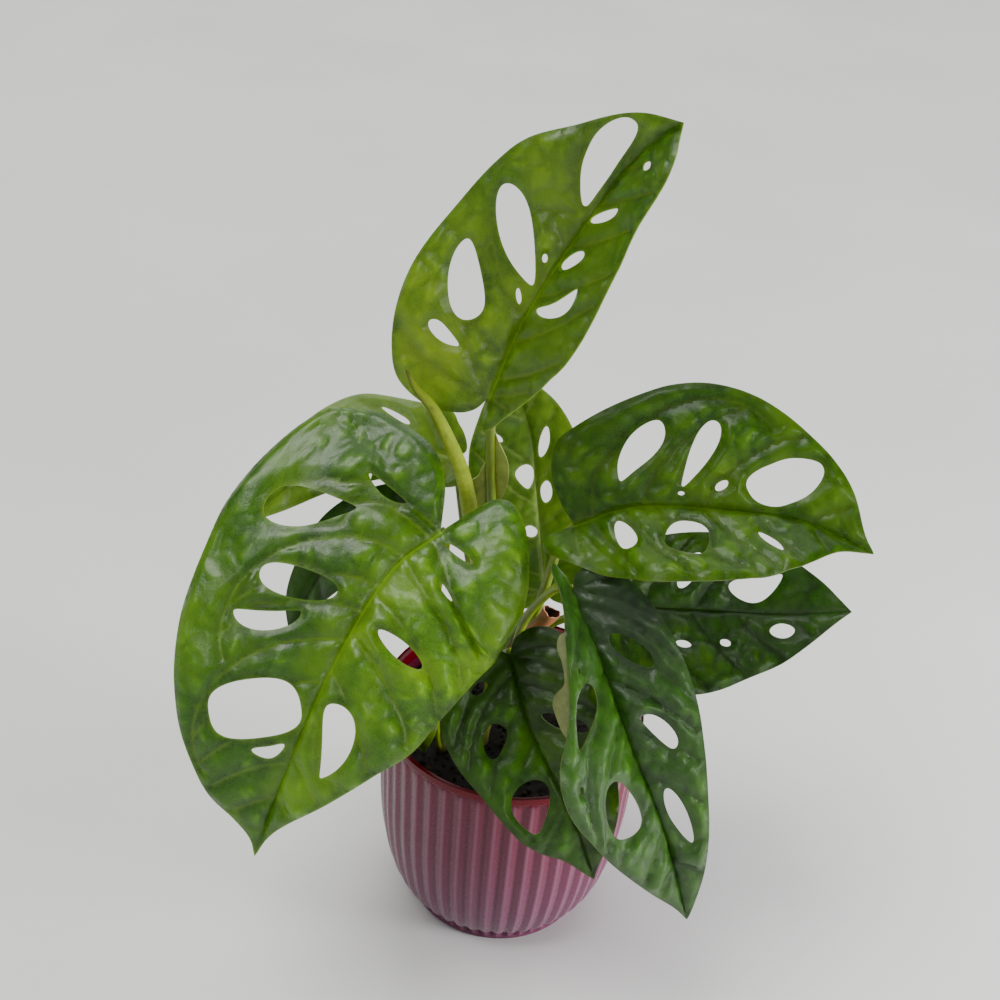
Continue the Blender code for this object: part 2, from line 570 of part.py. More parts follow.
def ribbed_ring(height):
    """Three points to a rib: one in the groove and two on the crest."""
    radius = body_radius(height)
    turn = 2 * pi / (3 * RIB_COUNT)
    points = []
    for k in range(3 * RIB_COUNT):
        r = radius + (RIB_DEPTH if k % 3 else 0.0)
        points.append((r * cos(k * turn), r * sin(k * turn), height))
    return points


def stacked(rings):
    """One closed body from rings listed from the underside round to the inside's floor."""
    points = [(0.0, 0.0, rings[0][0][2])]
    places = []
    for ring_points in rings:
        places.append((len(points), len(ring_points)))
        points += ring_points
    points.append((0.0, 0.0, rings[-1][0][2]))
    faces = []
    for lower, upper in zip(places[:-1], places[1:]):
        faces += bridge(lower, upper)
    first, count = places[0]
    faces += [(0, first + (k + 1) % count, first + k) for k in range(count)]
    first, count = places[-1]
    faces += [(len(points) - 1, first + k, first + (k + 1) % count) for k in range(count)]
    return points, faces


def make_pot(finish):
    lip_low = POT_HEIGHT - LIP_HEIGHT
    rings = [
        ring(FOOT_RADIUS - FOOT_CHAMFER, 0.0, RIB_COUNT),
        ring(FOOT_RADIUS, FOOT_CHAMFER, RIB_COUNT),
        ring(FOOT_RADIUS, FOOT_HEIGHT - 1.0, RIB_COUNT),
        *[ribbed_ring(height) for height in RIB_HEIGHTS],
        ring(body_radius(lip_low), lip_low - 1.0, RIB_COUNT),
        ring(RIM_RADIUS - RIM_ROUND, lip_low, RIB_COUNT),
        ring(RIM_RADIUS, POT_HEIGHT - RIM_ROUND, RIB_COUNT),
        ring(RIM_RADIUS - RIM_ROUND, POT_HEIGHT, RIB_COUNT),
        ring(inner_radius(POT_HEIGHT) + RIM_ROUND, POT_HEIGHT, RIB_COUNT),
        ring(inner_radius(POT_HEIGHT), POT_HEIGHT - RIM_ROUND, RIB_COUNT),
        *[ring(inner_radius(height), height, RIB_COUNT) for height in WALL_HEIGHTS],
        ring(FLOOR_RADIUS, FLOOR_THICKNESS, RIB_COUNT),
    ]
    add_object("pot", *stacked(rings), finish)


def soil_height(x, y):
    """Low waves for the loose surface, fading out at the wall."""
    wave = sin(x / 6.1 + 0.7) * cos(y / 7.3) + 0.6 * sin((x + y) / 4.2)
    edge = max(0.0, 1.0 - (x * x + y * y) / inner_radius(SOIL_TOP) ** 2)
    return SOIL_TOP + SOIL_BUMP * wave * edge + SOIL_CROWN * edge


def lower_ring(points, faces, rim, loop, height, hollow):
    """Add a ring under the rim and the wall between them, and return the ring's indices."""
    first = len(points)
    points += [(x, y, height) for x, y in loop]
    below = list(range(first, len(points)))
    for a, b, c, d in zip(rim, rim[1:] + rim[:1], below, below[1:] + below[:1]):
        faces += [(a, d, c), (a, b, d)] if hollow else [(a, c, d), (a, d, b)]
    return below


def close_ring(points, faces, rim, centre, upward):
    """Fill a ring with triangles round its centre."""
    points.append(centre)
    for a, b in zip(rim, rim[1:] + rim[:1]):
        faces.append((len(points) - 1, a, b) if upward else (len(points) - 1, b, a))


def make_soil(finish):
    """A filled body that fits the pot, with a plain hole for each stem."""
    outline = np.array(ring(inner_radius(SOIL_TOP) - SEAT_GAP, 0.0, RIB_COUNT))[:, :2]
    holes = []
    for name, stem in STEMS.items():
        hole = np.array(ring(stem["radii"][0] + STEM_GAP, 0.0, HOLE_SIDES))[:, :2]
        holes.append(hole + stem_at(name, SOIL_TOP)[0][:2])
    flat, triangles = flat_mesh(outline, holes, SOIL_STEP)
    points = [(x, y, soil_height(x, y)) for x, y in flat]
    faces = [tuple(t) for t in triangles.tolist()]
    rims = [[int(np.argmin(np.linalg.norm(flat - p, axis=1))) for p in loop] for loop in (outline, *holes)]
    for rim, hole in zip(rims[1:], holes):
        rim = lower_ring(points, faces, rim, hole, HOLE_BOTTOM, True)
        close_ring(points, faces, rim, (*hole.mean(axis=0), HOLE_BOTTOM), True)
    rim = rims[0]
    sides = [(inner_radius(height), height) for height in WALL_HEIGHTS]
    for radius, height in [*sides, (FLOOR_RADIUS, FLOOR_THICKNESS + SEAT_GAP)]:
        loop = np.array(ring(radius - SEAT_GAP, 0.0, RIB_COUNT))[:, :2]
        rim = lower_ring(points, faces, rim, loop, height, False)
    close_ring(points, faces, rim, (0.0, 0.0, FLOOR_THICKNESS + SEAT_GAP), False)
    add_object("soil", points, faces, finish)


def main():
    clear_scene()
    finishes = {name: material(name, colour, 0.45) for name, colour in COLOURS.items()}
    make_pot(finishes["pot"])
    make_soil(finishes["soil"])
    for name, stem in STEMS.items():
        make_stem(name, stem, finishes["stem"])
    for name, leaf in LEAVES.items():
        make_leaf(name, leaf, finishes["leaf"])
    make_rolled_leaf(finishes["young"])


main()
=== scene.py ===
"""The looks of a potted Monstera adansonii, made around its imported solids.

Leaves, petioles, stems, pot and soil are made again from the same named shapes as the solids, in millimetres,
with what the solids leave out: veins, the swelling between them, thin margins, rounded ribs and loose soil.
"""
from math import cos, exp, pi, radians, sin

import bpy
import numpy as np
from mathutils import Matrix, Vector, kdtree, noise
from mathutils.geometry import delaunay_2d_cdt


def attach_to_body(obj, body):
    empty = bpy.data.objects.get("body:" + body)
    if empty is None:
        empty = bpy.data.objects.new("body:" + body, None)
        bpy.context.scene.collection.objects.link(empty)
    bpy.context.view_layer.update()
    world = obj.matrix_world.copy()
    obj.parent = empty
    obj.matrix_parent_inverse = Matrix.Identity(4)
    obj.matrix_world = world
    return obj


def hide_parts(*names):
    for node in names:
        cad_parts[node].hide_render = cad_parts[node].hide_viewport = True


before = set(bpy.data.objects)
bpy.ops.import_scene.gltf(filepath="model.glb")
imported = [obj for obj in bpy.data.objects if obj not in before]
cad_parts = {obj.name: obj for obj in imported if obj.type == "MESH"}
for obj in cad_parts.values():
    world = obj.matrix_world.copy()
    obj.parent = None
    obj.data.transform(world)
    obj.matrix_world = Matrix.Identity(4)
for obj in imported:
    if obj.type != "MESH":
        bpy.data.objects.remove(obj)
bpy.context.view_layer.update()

MM = 0.001

# Pot: as the solids, but its lip is less high, and its ribs reach up to it and have more points round them
POT_HEIGHT = 130.0
RIM_RADIUS = 70.0
BELLY_RADIUS = 69.0
BELLY_HEIGHT = 87.0
FOOT_RADIUS = 50.5
FOOT_HEIGHT = 8.0
FOOT_CHAMFER = 0.7
LIP_HEIGHT = 4.0
RIB_COUNT = 48
RIB_DEPTH = 1.1
WALL = 2.2
FLOOR_THICKNESS = 3.0
FLOOR_RADIUS = 40.9
RIB_POINTS = 10
RIB_TOP = 121.6
RIB_END = 4.0

# Soil: its surface in rings, the heights of the plain body under it, and its loose crumbs and fibres
SOIL_TOP = 115.0
SOIL_BUMP = 1.6
SOIL_CROWN = 2.0
STEM_GAP = 0.6
SOIL_RINGS = 46
SOIL_SIDES = 150
SOIL_BODY = (100.0, 87.0, 40.0, 12.0)
CRUMBS = 520
FIBRE_SCALE = (4.5, 0.35, 0.35)
GOLD = (1 + 5**0.5) / 2
BALL_POINTS = ((-1, GOLD, 0), (1, GOLD, 0), (-1, -GOLD, 0), (1, -GOLD, 0), (0, -1, GOLD), (0, 1, GOLD),
               (0, -1, -GOLD), (0, 1, -GOLD), (GOLD, 0, -1), (GOLD, 0, 1), (-GOLD, 0, -1), (-GOLD, 0, 1))
BALL_FACES = ((0, 11, 5), (0, 5, 1), (0, 1, 7), (0, 7, 10), (0, 10, 11), (1, 5, 9), (5, 11, 4),
              (11, 10, 2), (10, 7, 6), (7, 1, 8), (3, 9, 4), (3, 4, 2), (3, 2, 6), (3, 6, 8), (3, 8, 9),
              (4, 9, 5), (2, 4, 11), (6, 2, 10), (8, 6, 7), (9, 8, 1))

# Leaves, petioles and stems: steps, spacings and reaches of their points and veins
CURL_LENGTH = 50.0
THICKNESS = 0.5
EDGE_STEP = 1.5
SPECK_STEP = 0.8
SQUARE_POWER = 0.4
POINT_REACH = 0.1
HOLE_RIPPLE = 0.02
GRID_STEP = 1.5
ROW_SHARE = 0.87
CLEAR_SHARE = 0.6
LOOSEN_FROM = 0.35
LOOSEN_SPREAD = 6
LOOSEN_ROUNDS = 60
VEIN_STEP = 1.7
VEIN_REACH = 110
LOW_VEIN_REACH = 90
LOW_VEIN_ANGLES = (98, 132, 160)
VEIN_INSET = 3.0
VEIN_CLEAR = 1.6
CREASE_REACHES = (4.0, 1.7)
PUCKER_SIZES = (9.5, 5.0)
ROLL_SIZE = 24
ROLL_HEIGHT = 1.1
GROOVE_DEPTH = 0.5
GROOVE_REACH = 0.9
PETIOLE_STEP = 3.0
PETIOLE_SIDES = 14
RIB_PLACES = (0.03, 0.1, 0.2, 0.32, 0.45, 0.58, 0.7, 0.82, 0.92)
RIB_SHARES = (0.85, 0.72, 0.62, 0.54, 0.46, 0.38, 0.28, 0.2, 0.12)
RIB_SINK = 0.5
STEM_SIDES = 20
STUB_SIDES = 24

# Stems: points up the middle, radius at the foot and at the top. A stub is what is left of a cut leaf:
# points up its middle, its radii and, from its mouth down, the radii of its hollow.
STEMS = {
    "stem_middle": dict(
        line=((-12, 8, 68), (-12, 8, 92), (-12, 8, 116), (-13, 8, 160), (-16, 6.5, 198)), radii=(4.2, 3.3)),
    "stem_left": dict(
        line=((-35, -23, 68), (-35, -23, 92), (-35, -23, 116), (-38, -21, 150), (-42, -16, 182)),
        radii=(3.6, 2.8)),
    "stem_right": dict(
        line=((-15, -18, 68), (-15, -18, 92), (-15, -18, 116), (-10, -15, 152), (-2, -11, 186)),
        radii=(3.8, 2.9),
        stub=dict(
            line=((-3, -12.5, 180), (0.5, -15, 188), (7, -16.5, 197), (12, -16.5, 204), (14, -16.5, 208)),
            radii=(2.2, 2.4, 3.2, 4.2, 4.5), bore=(3.7, 2.9))),
}

# Leaves: the midrib runs from the petiole to the tip, and face is the way the upper side looks at
# each end. fold raises the left and right half at the base and at the tip, in degrees, and curl
# bends each half down again over CURL_LENGTH. Edge points are (along, across) the midrib.
# A hole is (along, across, length, width, turn): turn is the angle of its long axis away from the midrib.
# Up to four more numbers make its outer end blunter, bow it, in millimetres, square it off and draw its
# inner end to a point. specks are holes too small for the solids.
# sheaths are thin skins: those along the top leaf's petiole once wrapped newer leaves, and the one on
# leaf_front_right is its own margin turned over. Their edge points count along and across their own line.
LEAVES = {
    "leaf_top": dict(
        midrib=((-25, 2, 315), (-14, 12, 347), (2, 22, 378), (28, 30, 421), (47, 26, 442)),
        face=((-0.29, -0.76, 0.56), (-0.42, -0.80, 0.45)), fold=((20, 26), (20, 26)), curl=(4, 10),
        left=((-8, 4), (-13, 12), (-15, 26), (-8, 43), (10, 52), (36, 56), (64, 52), (88, 48), (104, 42),
              (120, 28), (136, 15), (146, 6)),
        right=((-9, 1), (-14, 4), (-12, 9), (-4, 14), (8, 22), (20, 29), (34, 35), (56, 36), (84, 32),
               (100, 28), (118, 26), (136, 23), (144, 16), (148, 7)),
        holes=((115, 10, 37, 16, 12, 0.1, -2.3, 0.5, 0.5), (69, 22, 44, 17, 48, 0, -0.7, 0.1, 0.5),
               (42, 31, 34, 15, 37, -0.3, -1.4), (19, 30, 17, 6, 72, 0.3, -0.5),
               (98, -7, 16, 5, 41, 0, -0.7), (74, -7, 14, 6, 28),
               (54, -14, 25, 8, 38, 0.1, -4.6)),
        specks=((128, -8, 5, 4, 0), (67, 6, 4, 2.5, 31), (47, 7, 7, 2.4, 38)),
        stem="stem_middle", attach=(172, 190), side=80,
        petiole=((-18, 10, 230), (-21, 3, 266), (-23.4, 3, 298)), radii=(2.7, 2.3),
        sheaths=(
            dict(line=((-20.6, 8, 240), (-22, 4.4, 258), (-23.6, 2.4, 280)),
                 face=(-0.2, -0.9, 0.3), fold=(20, 0),
                 left=((2, 6), (8, 9), (16, 11.5), (23, 12.5), (28, 10), (32, 4.5), (36, 3), (39, 1.2)),
                 right=((2, 0.7), (38, 0.7))),
            dict(line=((-18, 4.8, 254), (-18.9, 2.6, 268), (-20.1, 2.2, 281), (-21.6, 2.6, 298)),
                 face=(0.2, -0.9, 0.3), fold=(0, 28), left=((2, 0.7), (40, 0.7)),
                 right=((2, 2), (7, 4), (13, 5.6), (19, 6.5), (24, 6.7), (29, 5.8), (34, 3.8), (38, 2),
                        (41, 1))))),
    "leaf_left": dict(
        midrib=((-42, -30, 260), (-63, -46, 247), (-83, -72, 217), (-99, -96, 179), (-116, -112, 123)),
        face=((-0.12, -0.60, 0.80), (-0.20, -0.88, 0.42)), fold=((8, 16), (8, 16)), curl=(34, 14),
        left=((-10, 1), (-20, 2), (-29, 4), (-34, 11), (-32, 22), (-24, 35), (-11, 50), (8, 62), (32, 65),
              (56, 61), (80, 56), (101, 50), (118, 38), (140, 23), (157, 10), (170, 3)),
        right=((-4, 4), (-16, 17), (-22, 32), (-20, 48), (-13, 65), (2, 79), (20, 84), (38, 83), (58, 80),
               (78, 76), (97, 71), (121, 61), (142, 47), (158, 31), (167, 15), (174, 5)),
        holes=((29, -49, 44, 12, 71, 0.8, 4.4), (10, -31, 24, 5, 72, 0, 1.5),
               (55, -32, 38, 13, 76, 0.1, 0.9), (74, -37, 32, 8, 65, 0, 3.7),
               (112, -24, 44, 27, 61, 0, -0.7, 0.45), (127, -11, 15, 6, 56, 0.1, 2.4),
               (111, 15, 36, 14, 12, -0.5, -4.5), (58, 24, 25, 8, 78, 0.1, 0), (16, 27, 13, 4, 80, 0, 0.4)),
        specks=((0, 14, 16, 3, 102),),
        stem="stem_left", attach=(158, 174), side=225, petiole=((-44, -20, 206), (-40, -19, 242)),
        radii=(2.6, 2.3)),
    "leaf_right": dict(
        midrib=((20, -14, 259), (50, -12, 272), (103, -14, 275), (129, -18, 274), (158, -26, 266)),
        face=((0.05, -0.56, 0.82), (0.30, -0.56, 0.76)), fold=((26, 22), (26, 22)), curl=(8, 8),
        left=((-3, 12), (-3, 26), (2, 37), (14, 43), (27, 49), (44, 56), (60, 58), (77, 55), (92, 48),
              (110, 33), (124, 20), (135, 7)),
        right=((-7, 1), (-14, 2), (-17, 7), (-14, 13), (0, 25), (10, 34), (29, 42), (46, 44), (66, 42),
               (86, 38), (103, 33), (117, 23), (129, 9)),
        holes=((33, 27, 29, 16, 63, 0.1, 0, 0.2, 0.6), (58, 25, 32, 10, 68, 0.3, 0.4, 0.3, 0.3),
               (69, 11, 7, 4, 38), (96, 17, 31, 20, 34, -0.2, 2.9, 0.6, 0.1),
               (23, -15, 18, 10, 70, 0.4, -0.8), (54, -19, 21, 19, 6, 0.1, 1.5, 0.5),
               (94, -16, 16, 4, 32)),
        specks=((51, 6, 3, 2, 0),),
        stem="stem_right", attach=(164, 180), side=10, petiole=((9, -8, 212), (14, -8, 240)),
        radii=(2.6, 2.2)),
    "leaf_right_low": dict(
        midrib=((49, 8, 196), (66, 10, 195), (105, 12, 195), (133, 10, 198), (165, 4, 208)),
        face=((0.05, -0.62, 0.78), (0.20, -0.66, 0.72)), fold=((16, 12), (16, 12)), curl=(10, 10),
        left=((-7, 4), (-9, 13), (-2, 24), (12, 34), (30, 39), (52, 40), (73, 36), (90, 28), (104, 17),
              (112, 8)),
        right=((-7, 4), (-10, 14), (-6, 27), (6, 39), (22, 45), (38, 45), (51, 42), (65, 36), (81, 28),
               (95, 18), (109, 7)),
        holes=((71, 14, 28, 12, 16, -0.4, 4.1), (84, -9, 12, 8, 0), (55, -17, 6, 4, 10),
               (33, -19, 8, 4, 7), (36, 20, 22, 8, 60, 0.1, 0)),
        stem="stem_right", attach=(140, 156), side=60, petiole=((8, -1, 180), (30, 4, 192)),
        radii=(2.2, 2.0)),
    "leaf_front_right": dict(
        midrib=((21, -42, 242), (38, -66, 217), (54, -86, 188), (73, -102, 153), (90, -112, 105)),
        face=((0.20, -0.72, 0.66), (0.30, -0.85, 0.42)), fold=((18, 56), (18, 8)), curl=(8, 8),
        left=((-6, 4), (-8, 13), (2, 24), (14, 30), (30, 34), (50, 36), (70, 35), (90, 31), (112, 24),
              (132, 18), (150, 12), (164, 5)),
        right=((-7, 3), (-14, 9), (-11, 15), (-3, 15), (6, 18), (18, 24.5), (31, 29.5), (45, 34.5), (58, 41),
               (66, 47.5), (74, 50.5), (86, 48.5), (102, 41), (116, 34), (131, 25), (147, 15), (162, 5)),
        holes=((35, 15, 24, 9, 38), (74, 15, 23, 8, 25, 0, -1.7), (115, 9, 28, 8, 7, -0.2, 0.6),
               (98, -19, 28, 20, -9, 0.1, -2.0), (53, -25, 29, 13, 45, -0.4, -1.6)),
        specks=((35, -21, 2.6, 2.2, 0), (79, -39, 3.4, 2.8, 0)),
        stem="stem_right", attach=(148, 164), side=310, petiole=((0, -24, 204), (12, -33, 234)),
        radii=(2.3, 2.1),
        sheaths=(
            dict(line=((17.9, -71.5, 241.2), (20.3, -83.7, 232.7), (22.5, -95.5, 222.5),
                       (22.5, -107.7, 211.9)),
                 face=(-0.1, -0.51, 0.81), fold=(0, -12), left=((1, 0.7), (46, 0.7)),
                 right=((1, 2.5), (4, 4), (8, 4.2), (13, 2.8), (20, 2.2), (24, 3), (28, 7), (33, 8),
                        (39, 5.8), (44, 3.2), (46.5, 1.2))),)),
    "leaf_front_middle": dict(
        midrib=((-5, -42, 200), (6, -60, 176), (19, -74, 157), (33, -84, 135), (46, -90, 102)),
        face=((-0.10, -0.72, 0.66), (-0.02, -0.92, 0.36)), fold=((14, 14), (14, 14)), curl=(8, 8),
        left=((-7, 5), (-10, 14), (-7, 24), (4, 32), (20, 36), (40, 36), (60, 33), (80, 26), (96, 17),
              (112, 6)),
        right=((-5, 8), (2, 17), (10, 28), (22, 40), (36, 40), (54, 35), (70, 31), (85, 27), (97, 20),
               (106, 11), (115, 5)),
        holes=((12, -18, 9, 5, 65), (36, -18, 16, 10, 44, -0.2, -0.9),
               (71, -15, 26, 18, 26, -0.3, -3.1),
               (40, 17, 24, 8, 50, 0.1, 0)),
        stem="stem_right", attach=(124, 140), side=250, petiole=((-14, -30, 168), (-9, -36, 190)),
        radii=(2.0, 1.8)),
    "leaf_back": dict(
        midrib=((12, 26, 186), (9, 30, 203), (2, 38, 242), (-4, 46, 272), (-18, 58, 301)),
        face=((0.0, -0.90, 0.42), (0.0, -0.82, 0.55)), fold=((12, 8), (12, 8)), curl=(8, 8),
        left=((-5, 4), (-7, 13), (2, 22), (20, 30), (44, 34), (70, 34), (92, 31), (108, 21), (119, 9)),
        right=((-5, 4), (-7, 13), (2, 22), (20, 29), (44, 31), (66, 28), (85, 22), (101, 16), (115, 7)),
        holes=((83, -6, 15, 5, 20), (66, 5, 13, 9, 12, 0.4, 0), (57, -5, 12, 6, 5),
               (91, 17, 8, 3, 32), (36, 5, 8, 6, 48)),
        stem="stem_middle", attach=(134, 152), side=20, petiole=((0, 18, 170),),
        radii=(2.0, 1.8)),
    "leaf_left_back": dict(
        midrib=((-41, 22, 268), (-72, 26, 270), (-105, 18, 259), (-137, 2, 235)),
        face=((-0.10, -0.62, 0.78), (-0.30, -0.65, 0.72)), fold=((10, 10), (10, 10)), curl=(10, 10),
        left=((-8, 5), (-9, 11), (-4, 16), (12, 19), (34, 19), (56, 18), (75, 15), (92, 10), (104, 5)),
        right=((-6, 4), (-4, 11), (1, 17), (8, 22), (24, 22), (40, 27), (54, 26), (75, 20), (96, 12)),
        holes=((29, -15, 15, 4, 44), (46, 14, 18, 6, 60, 0.1, 0)),
        specks=((83, 0, 5, 3, -26),),
        stem="stem_middle", attach=(158, 176), side=160, petiole=((-30, 14, 216), (-36, 19, 248)),
        radii=(2.0, 1.8)),
    "leaf_left_low": dict(
        midrib=((-58, -4, 252), (-86, -8, 237), (-105, -16, 208), (-114, -24, 178)),
        face=((-0.30, -0.65, 0.70), (-0.50, -0.75, 0.35)), fold=((14, 14), (14, 14)), curl=(8, 8),
        left=((-5, 4), (-6, 12), (4, 19), (20, 22), (38, 20), (52, 17), (66, 12), (80, 7), (92, 3)),
        right=((-5, 4), (-6, 11), (6, 16), (22, 17), (42, 16), (64, 13), (80, 9), (91, 4)),
        holes=((40, 9, 16, 5, 50),),
        stem="stem_left", attach=(136, 152), side=110, petiole=((-44, -8, 190), (-50, -5, 228)),
        radii=(1.9, 1.6)),
    "leaf_small": dict(
        midrib=((-42, -37, 162), (-45, -40, 150), (-45, -38, 134), (-43, -34, 121)),
        face=((-0.20, -0.75, 0.60), (-0.10, -0.98, -0.10)), fold=((16, 16), (10, 10)), curl=(8, 8),
        left=((-3, 3), (0, 8), (10, 9), (22, 7), (34, 3)),
        right=((-3, 3), (0, 8), (10, 9), (22, 7), (34, 3)),
        holes=(),
        stem="stem_left", attach=(124, 138), side=255, petiole=((-38, -32, 154),), radii=(1.3, 1.1)),
}

# The new leaf, still rolled into a spike: where it leaves its stem, its middle line, radii and brown specks
ROLLED_STEM = "stem_middle"
ROLLED_ATTACH = (176, 192)
ROLLED_SIDE = 235
ROLLED_LINE = ((-26, -4, 232), (-30, -6, 257), (-35, -6, 278), (-43, -6, 297), (-50, -9, 313),
               (-58, -11, 324), (-62, -12, 333))
ROLLED_RADII = (2.2, 2.4, 3.4, 3.9, 3.7, 3.2, 2.6, 1.6, 0.6)
ROLLED_SIDES = 28
ROLLED_SPOTS = ((-43.2, -8.7, 298.7), (-50.1, -11.2, 314.3))

# How each leaf looks: how strongly it swells between its veins and puckers, in millimetres, its finish,
# and the middle of its patch of painted light, or on leaf_front_right of painted shade: along, across
# and how far that reaches
LOOKS = {
    "leaf_top": dict(swell=2.5, pucker=1.05, finish="leaf_olive", painted_lighting=(14, 30, 30)),
    "leaf_left": dict(swell=3.1, pucker=0.95, finish="leaf_green", painted_lighting=(42, 44, 38)),
    "leaf_right": dict(swell=2.8, pucker=1.05, finish="leaf_deep", painted_lighting=(60, -30, 40)),
    "leaf_right_low": dict(swell=2.0, pucker=0.8, finish="leaf_shaded"),
    "leaf_front_right": dict(swell=3.1, pucker=1.1, finish="leaf_dark", painted_lighting=(12, 20, 26)),
    "leaf_front_middle": dict(swell=2.6, pucker=1.1, finish="leaf_front"),
    "leaf_back": dict(swell=1.4, pucker=0.8, finish="leaf_pale"),
    "leaf_left_back": dict(swell=1.2, pucker=0.5, finish="leaf_light"),
    "leaf_left_low": dict(swell=1.2, pucker=0.5, finish="leaf_shaded"),
    "leaf_small": dict(swell=0.3, pucker=0.2, finish="leaf_olive"),
}

# The sheaths' look, and their finishes outside, inside and on the rim
SHEATH_LOOK = dict(swell=0.2, pucker=0.4)
SHEATH_CURL = (20, 20)
SHEATH_KINDS = ("sheath", "sheath_inside", "sheath_rim")
TURNED_LEAF = "leaf_front_right"
TURNED_KINDS = ("turned", "leaf_dark", "sheath_rim")

# What scales a leaf's colour in a patch of painted light, and in one of painted shade where others shade it
PAINTED_GLOW = (1.7, 1.5, 1.0)
PAINTED_SHADE = (0.2, 0.32, 0.15)
DARK_FINISHES = ("leaf_dark", "leaf_front", "leaf_shaded", "leaf_deep")

# How far light goes under green skin: red, green and blue
GREEN_DEPTH = (0.6, 1.0, 0.15)

# Leaves' upper skins: the tones of the creases' painted shade, skin, the swellings' painted light and
# patches, the tone of the veins, then how rough it is, how much light it lets through, what scales each
# half's colour as painted light and shade, and how much it shines
LEAF_FINISHES = {
    "leaf_green": dict(
        tones=((14, 42, 0), (52, 92, 2), (100, 146, 12), (104, 144, 4)), rib=(118, 158, 24),
        gloss=0.3, through=0.15, painted_half_shading=((1.18, 1.14, 0.7), (0.86, 0.88, 0.7))),
    "leaf_deep": dict(
        tones=((12, 34, 0), (42, 74, 2), (78, 116, 6), (84, 116, 2)), rib=(84, 116, 20),
        gloss=0.33, painted_half_shading=((1.0, 1.0, 0.9), (0.9, 0.95, 0.6)), shine=0.2),
    "leaf_shaded": dict(
        tones=((10, 30, 1), (34, 62, 4), (58, 90, 12), (58, 84, 6)), rib=(40, 66, 12), gloss=0.3, shine=0.28),
    "leaf_dark": dict(
        tones=((12, 34, 3), (34, 68, 8), (60, 100, 26), (50, 88, 8)), rib=(38, 66, 18),
        gloss=0.31, through=0.06, painted_half_shading=((1.15, 1.1, 1.2), (1.0, 1.0, 0.8)), shine=0.42, painted_lighting=PAINTED_SHADE),
    "leaf_front": dict(
        tones=((12, 32, 1), (36, 66, 4), (58, 98, 12), (52, 84, 2)), rib=(38, 62, 10),
        through=0.06, painted_half_shading=((0.9, 0.8, 0.25), (1.1, 1.15, 0.9)), shine=0.22),
    "leaf_olive": dict(
        tones=((26, 48, 0), (70, 98, 1), (108, 138, 8), (104, 126, 2)), rib=(112, 142, 26),
        gloss=0.32, through=0.2, painted_half_shading=((0.98, 1.0, 0.95), (0.54, 0.57, 0.28))),
    "leaf_pale": dict(
        tones=((48, 72, 14), (84, 110, 26), (112, 138, 44), (106, 132, 26)), rib=(142, 164, 76),
        gloss=0.4, through=0.2, painted_half_shading=((0.55, 0.6, 0.6), (1.0, 1.0, 0.6)), shine=0.25),
    "leaf_light": dict(
        tones=((60, 86, 12), (90, 118, 20), (112, 138, 32), (106, 132, 20)), rib=(140, 164, 70),
        gloss=0.42, through=0.2, shine=0.22),
}

# Skins in two tones: the tones, the size of their patches as noise scale, and how rough they are
PLAIN_FINISHES = {
    "margin": ((112, 142, 44), (82, 112, 24), 260, 0.4),
    "margin_dark": ((78, 102, 36), (52, 76, 22), 260, 0.45),
    "sheath": ((132, 152, 56), (108, 130, 36), 150, 0.45),
    "turned": ((94, 104, 44), (76, 88, 30), 240, 0.55),
    "sheath_inside": ((84, 98, 28), (60, 68, 16), 120, 0.5),
    "sheath_rim": ((188, 194, 120), (150, 156, 84), 200, 0.5),
    "stub": ((150, 92, 58), (96, 76, 34), 120, 0.5),
    "stub_lip": ((214, 160, 130), (184, 128, 98), 300, 0.5),
    # The stub's inside: dark brown, made nearly black as painted shade in the hollow
    "stub_inside_shaded": ((54, 34, 18), (18, 12, 8), 160, 0.6),
}

# The floor's rings, radius and height, and the photograph's view, in metres and degrees
FLOOR_RINGS = ((1.6, 0.0), (2.6, 0.02), (3.1, 0.12), (3.4, 0.34), (3.5, 0.7), (3.5, 1.2))
FLOOR_SIDES = 72
VIEW_TARGET = (-0.016, 0, 0.260)
VIEW_DISTANCE = 0.665
VIEW_PITCH = 34.5
VIEW_ROLL = 5.0
LENS = 50

# Far lights: where each is seen, how wide in degrees, how strong, and which are mirrored and light nothing
SUNS = {
    "ceiling": dict(place=(-0.3, -0.12, 0.94), spread=30, strength=2.6, colour=(1.0, 1.0, 0.97)),
    "front_left": dict(
        place=(-0.34, -0.6, 0.66), spread=10, strength=0.3, colour=(1.0, 1.0, 1.0), only_gloss=True),
    "front_right": dict(
        place=(0.5, -0.68, 0.45), spread=16, strength=0.65, colour=(0.98, 1.0, 0.96), only_gloss=True),
    "window": dict(place=(0.15, 0.75, 0.65), spread=60, strength=1.5, colour=(1.0, 1.0, 1.0)),
}
SIDE_LIGHT = dict(
    place=(1.3, -0.25, 0.2), aim=(0.0, 0.0, 0.08), size=(0.4, 0.3), power=34, colour=(1.0, 0.98, 1.0))
WORLD_COLOUR = (0.94, 0.96, 1.0, 1.0)
WORLD_STRENGTH = 0.24


def unit(rows):
    return rows / np.linalg.norm(rows, axis=-1, keepdims=True)


def smooth_line(points, steps):
    """Catmull-Rom curve through the points, with this many steps from each to the next."""
    p = np.array(points, float)
    p = np.vstack([2 * p[0] - p[1], p, 2 * p[-1] - p[-2]])
    t = np.linspace(0, 1, steps, endpoint=False)[:, None]
    spans = []
    for a, b, c, d in zip(p[:-3], p[1:-2], p[2:-1], p[3:]):
        square = (2 * a - 5 * b + 4 * c - d) * t**2
        cube = (3 * b - a - 3 * c + d) * t**3
        spans.append(0.5 * (2 * b + (c - a) * t + square + cube))
    spans.append(p[-2][None])
    return np.vstack(spans)


def lengths(line):
    return np.concatenate([[0], np.cumsum(np.linalg.norm(np.diff(line, axis=0), axis=1))])


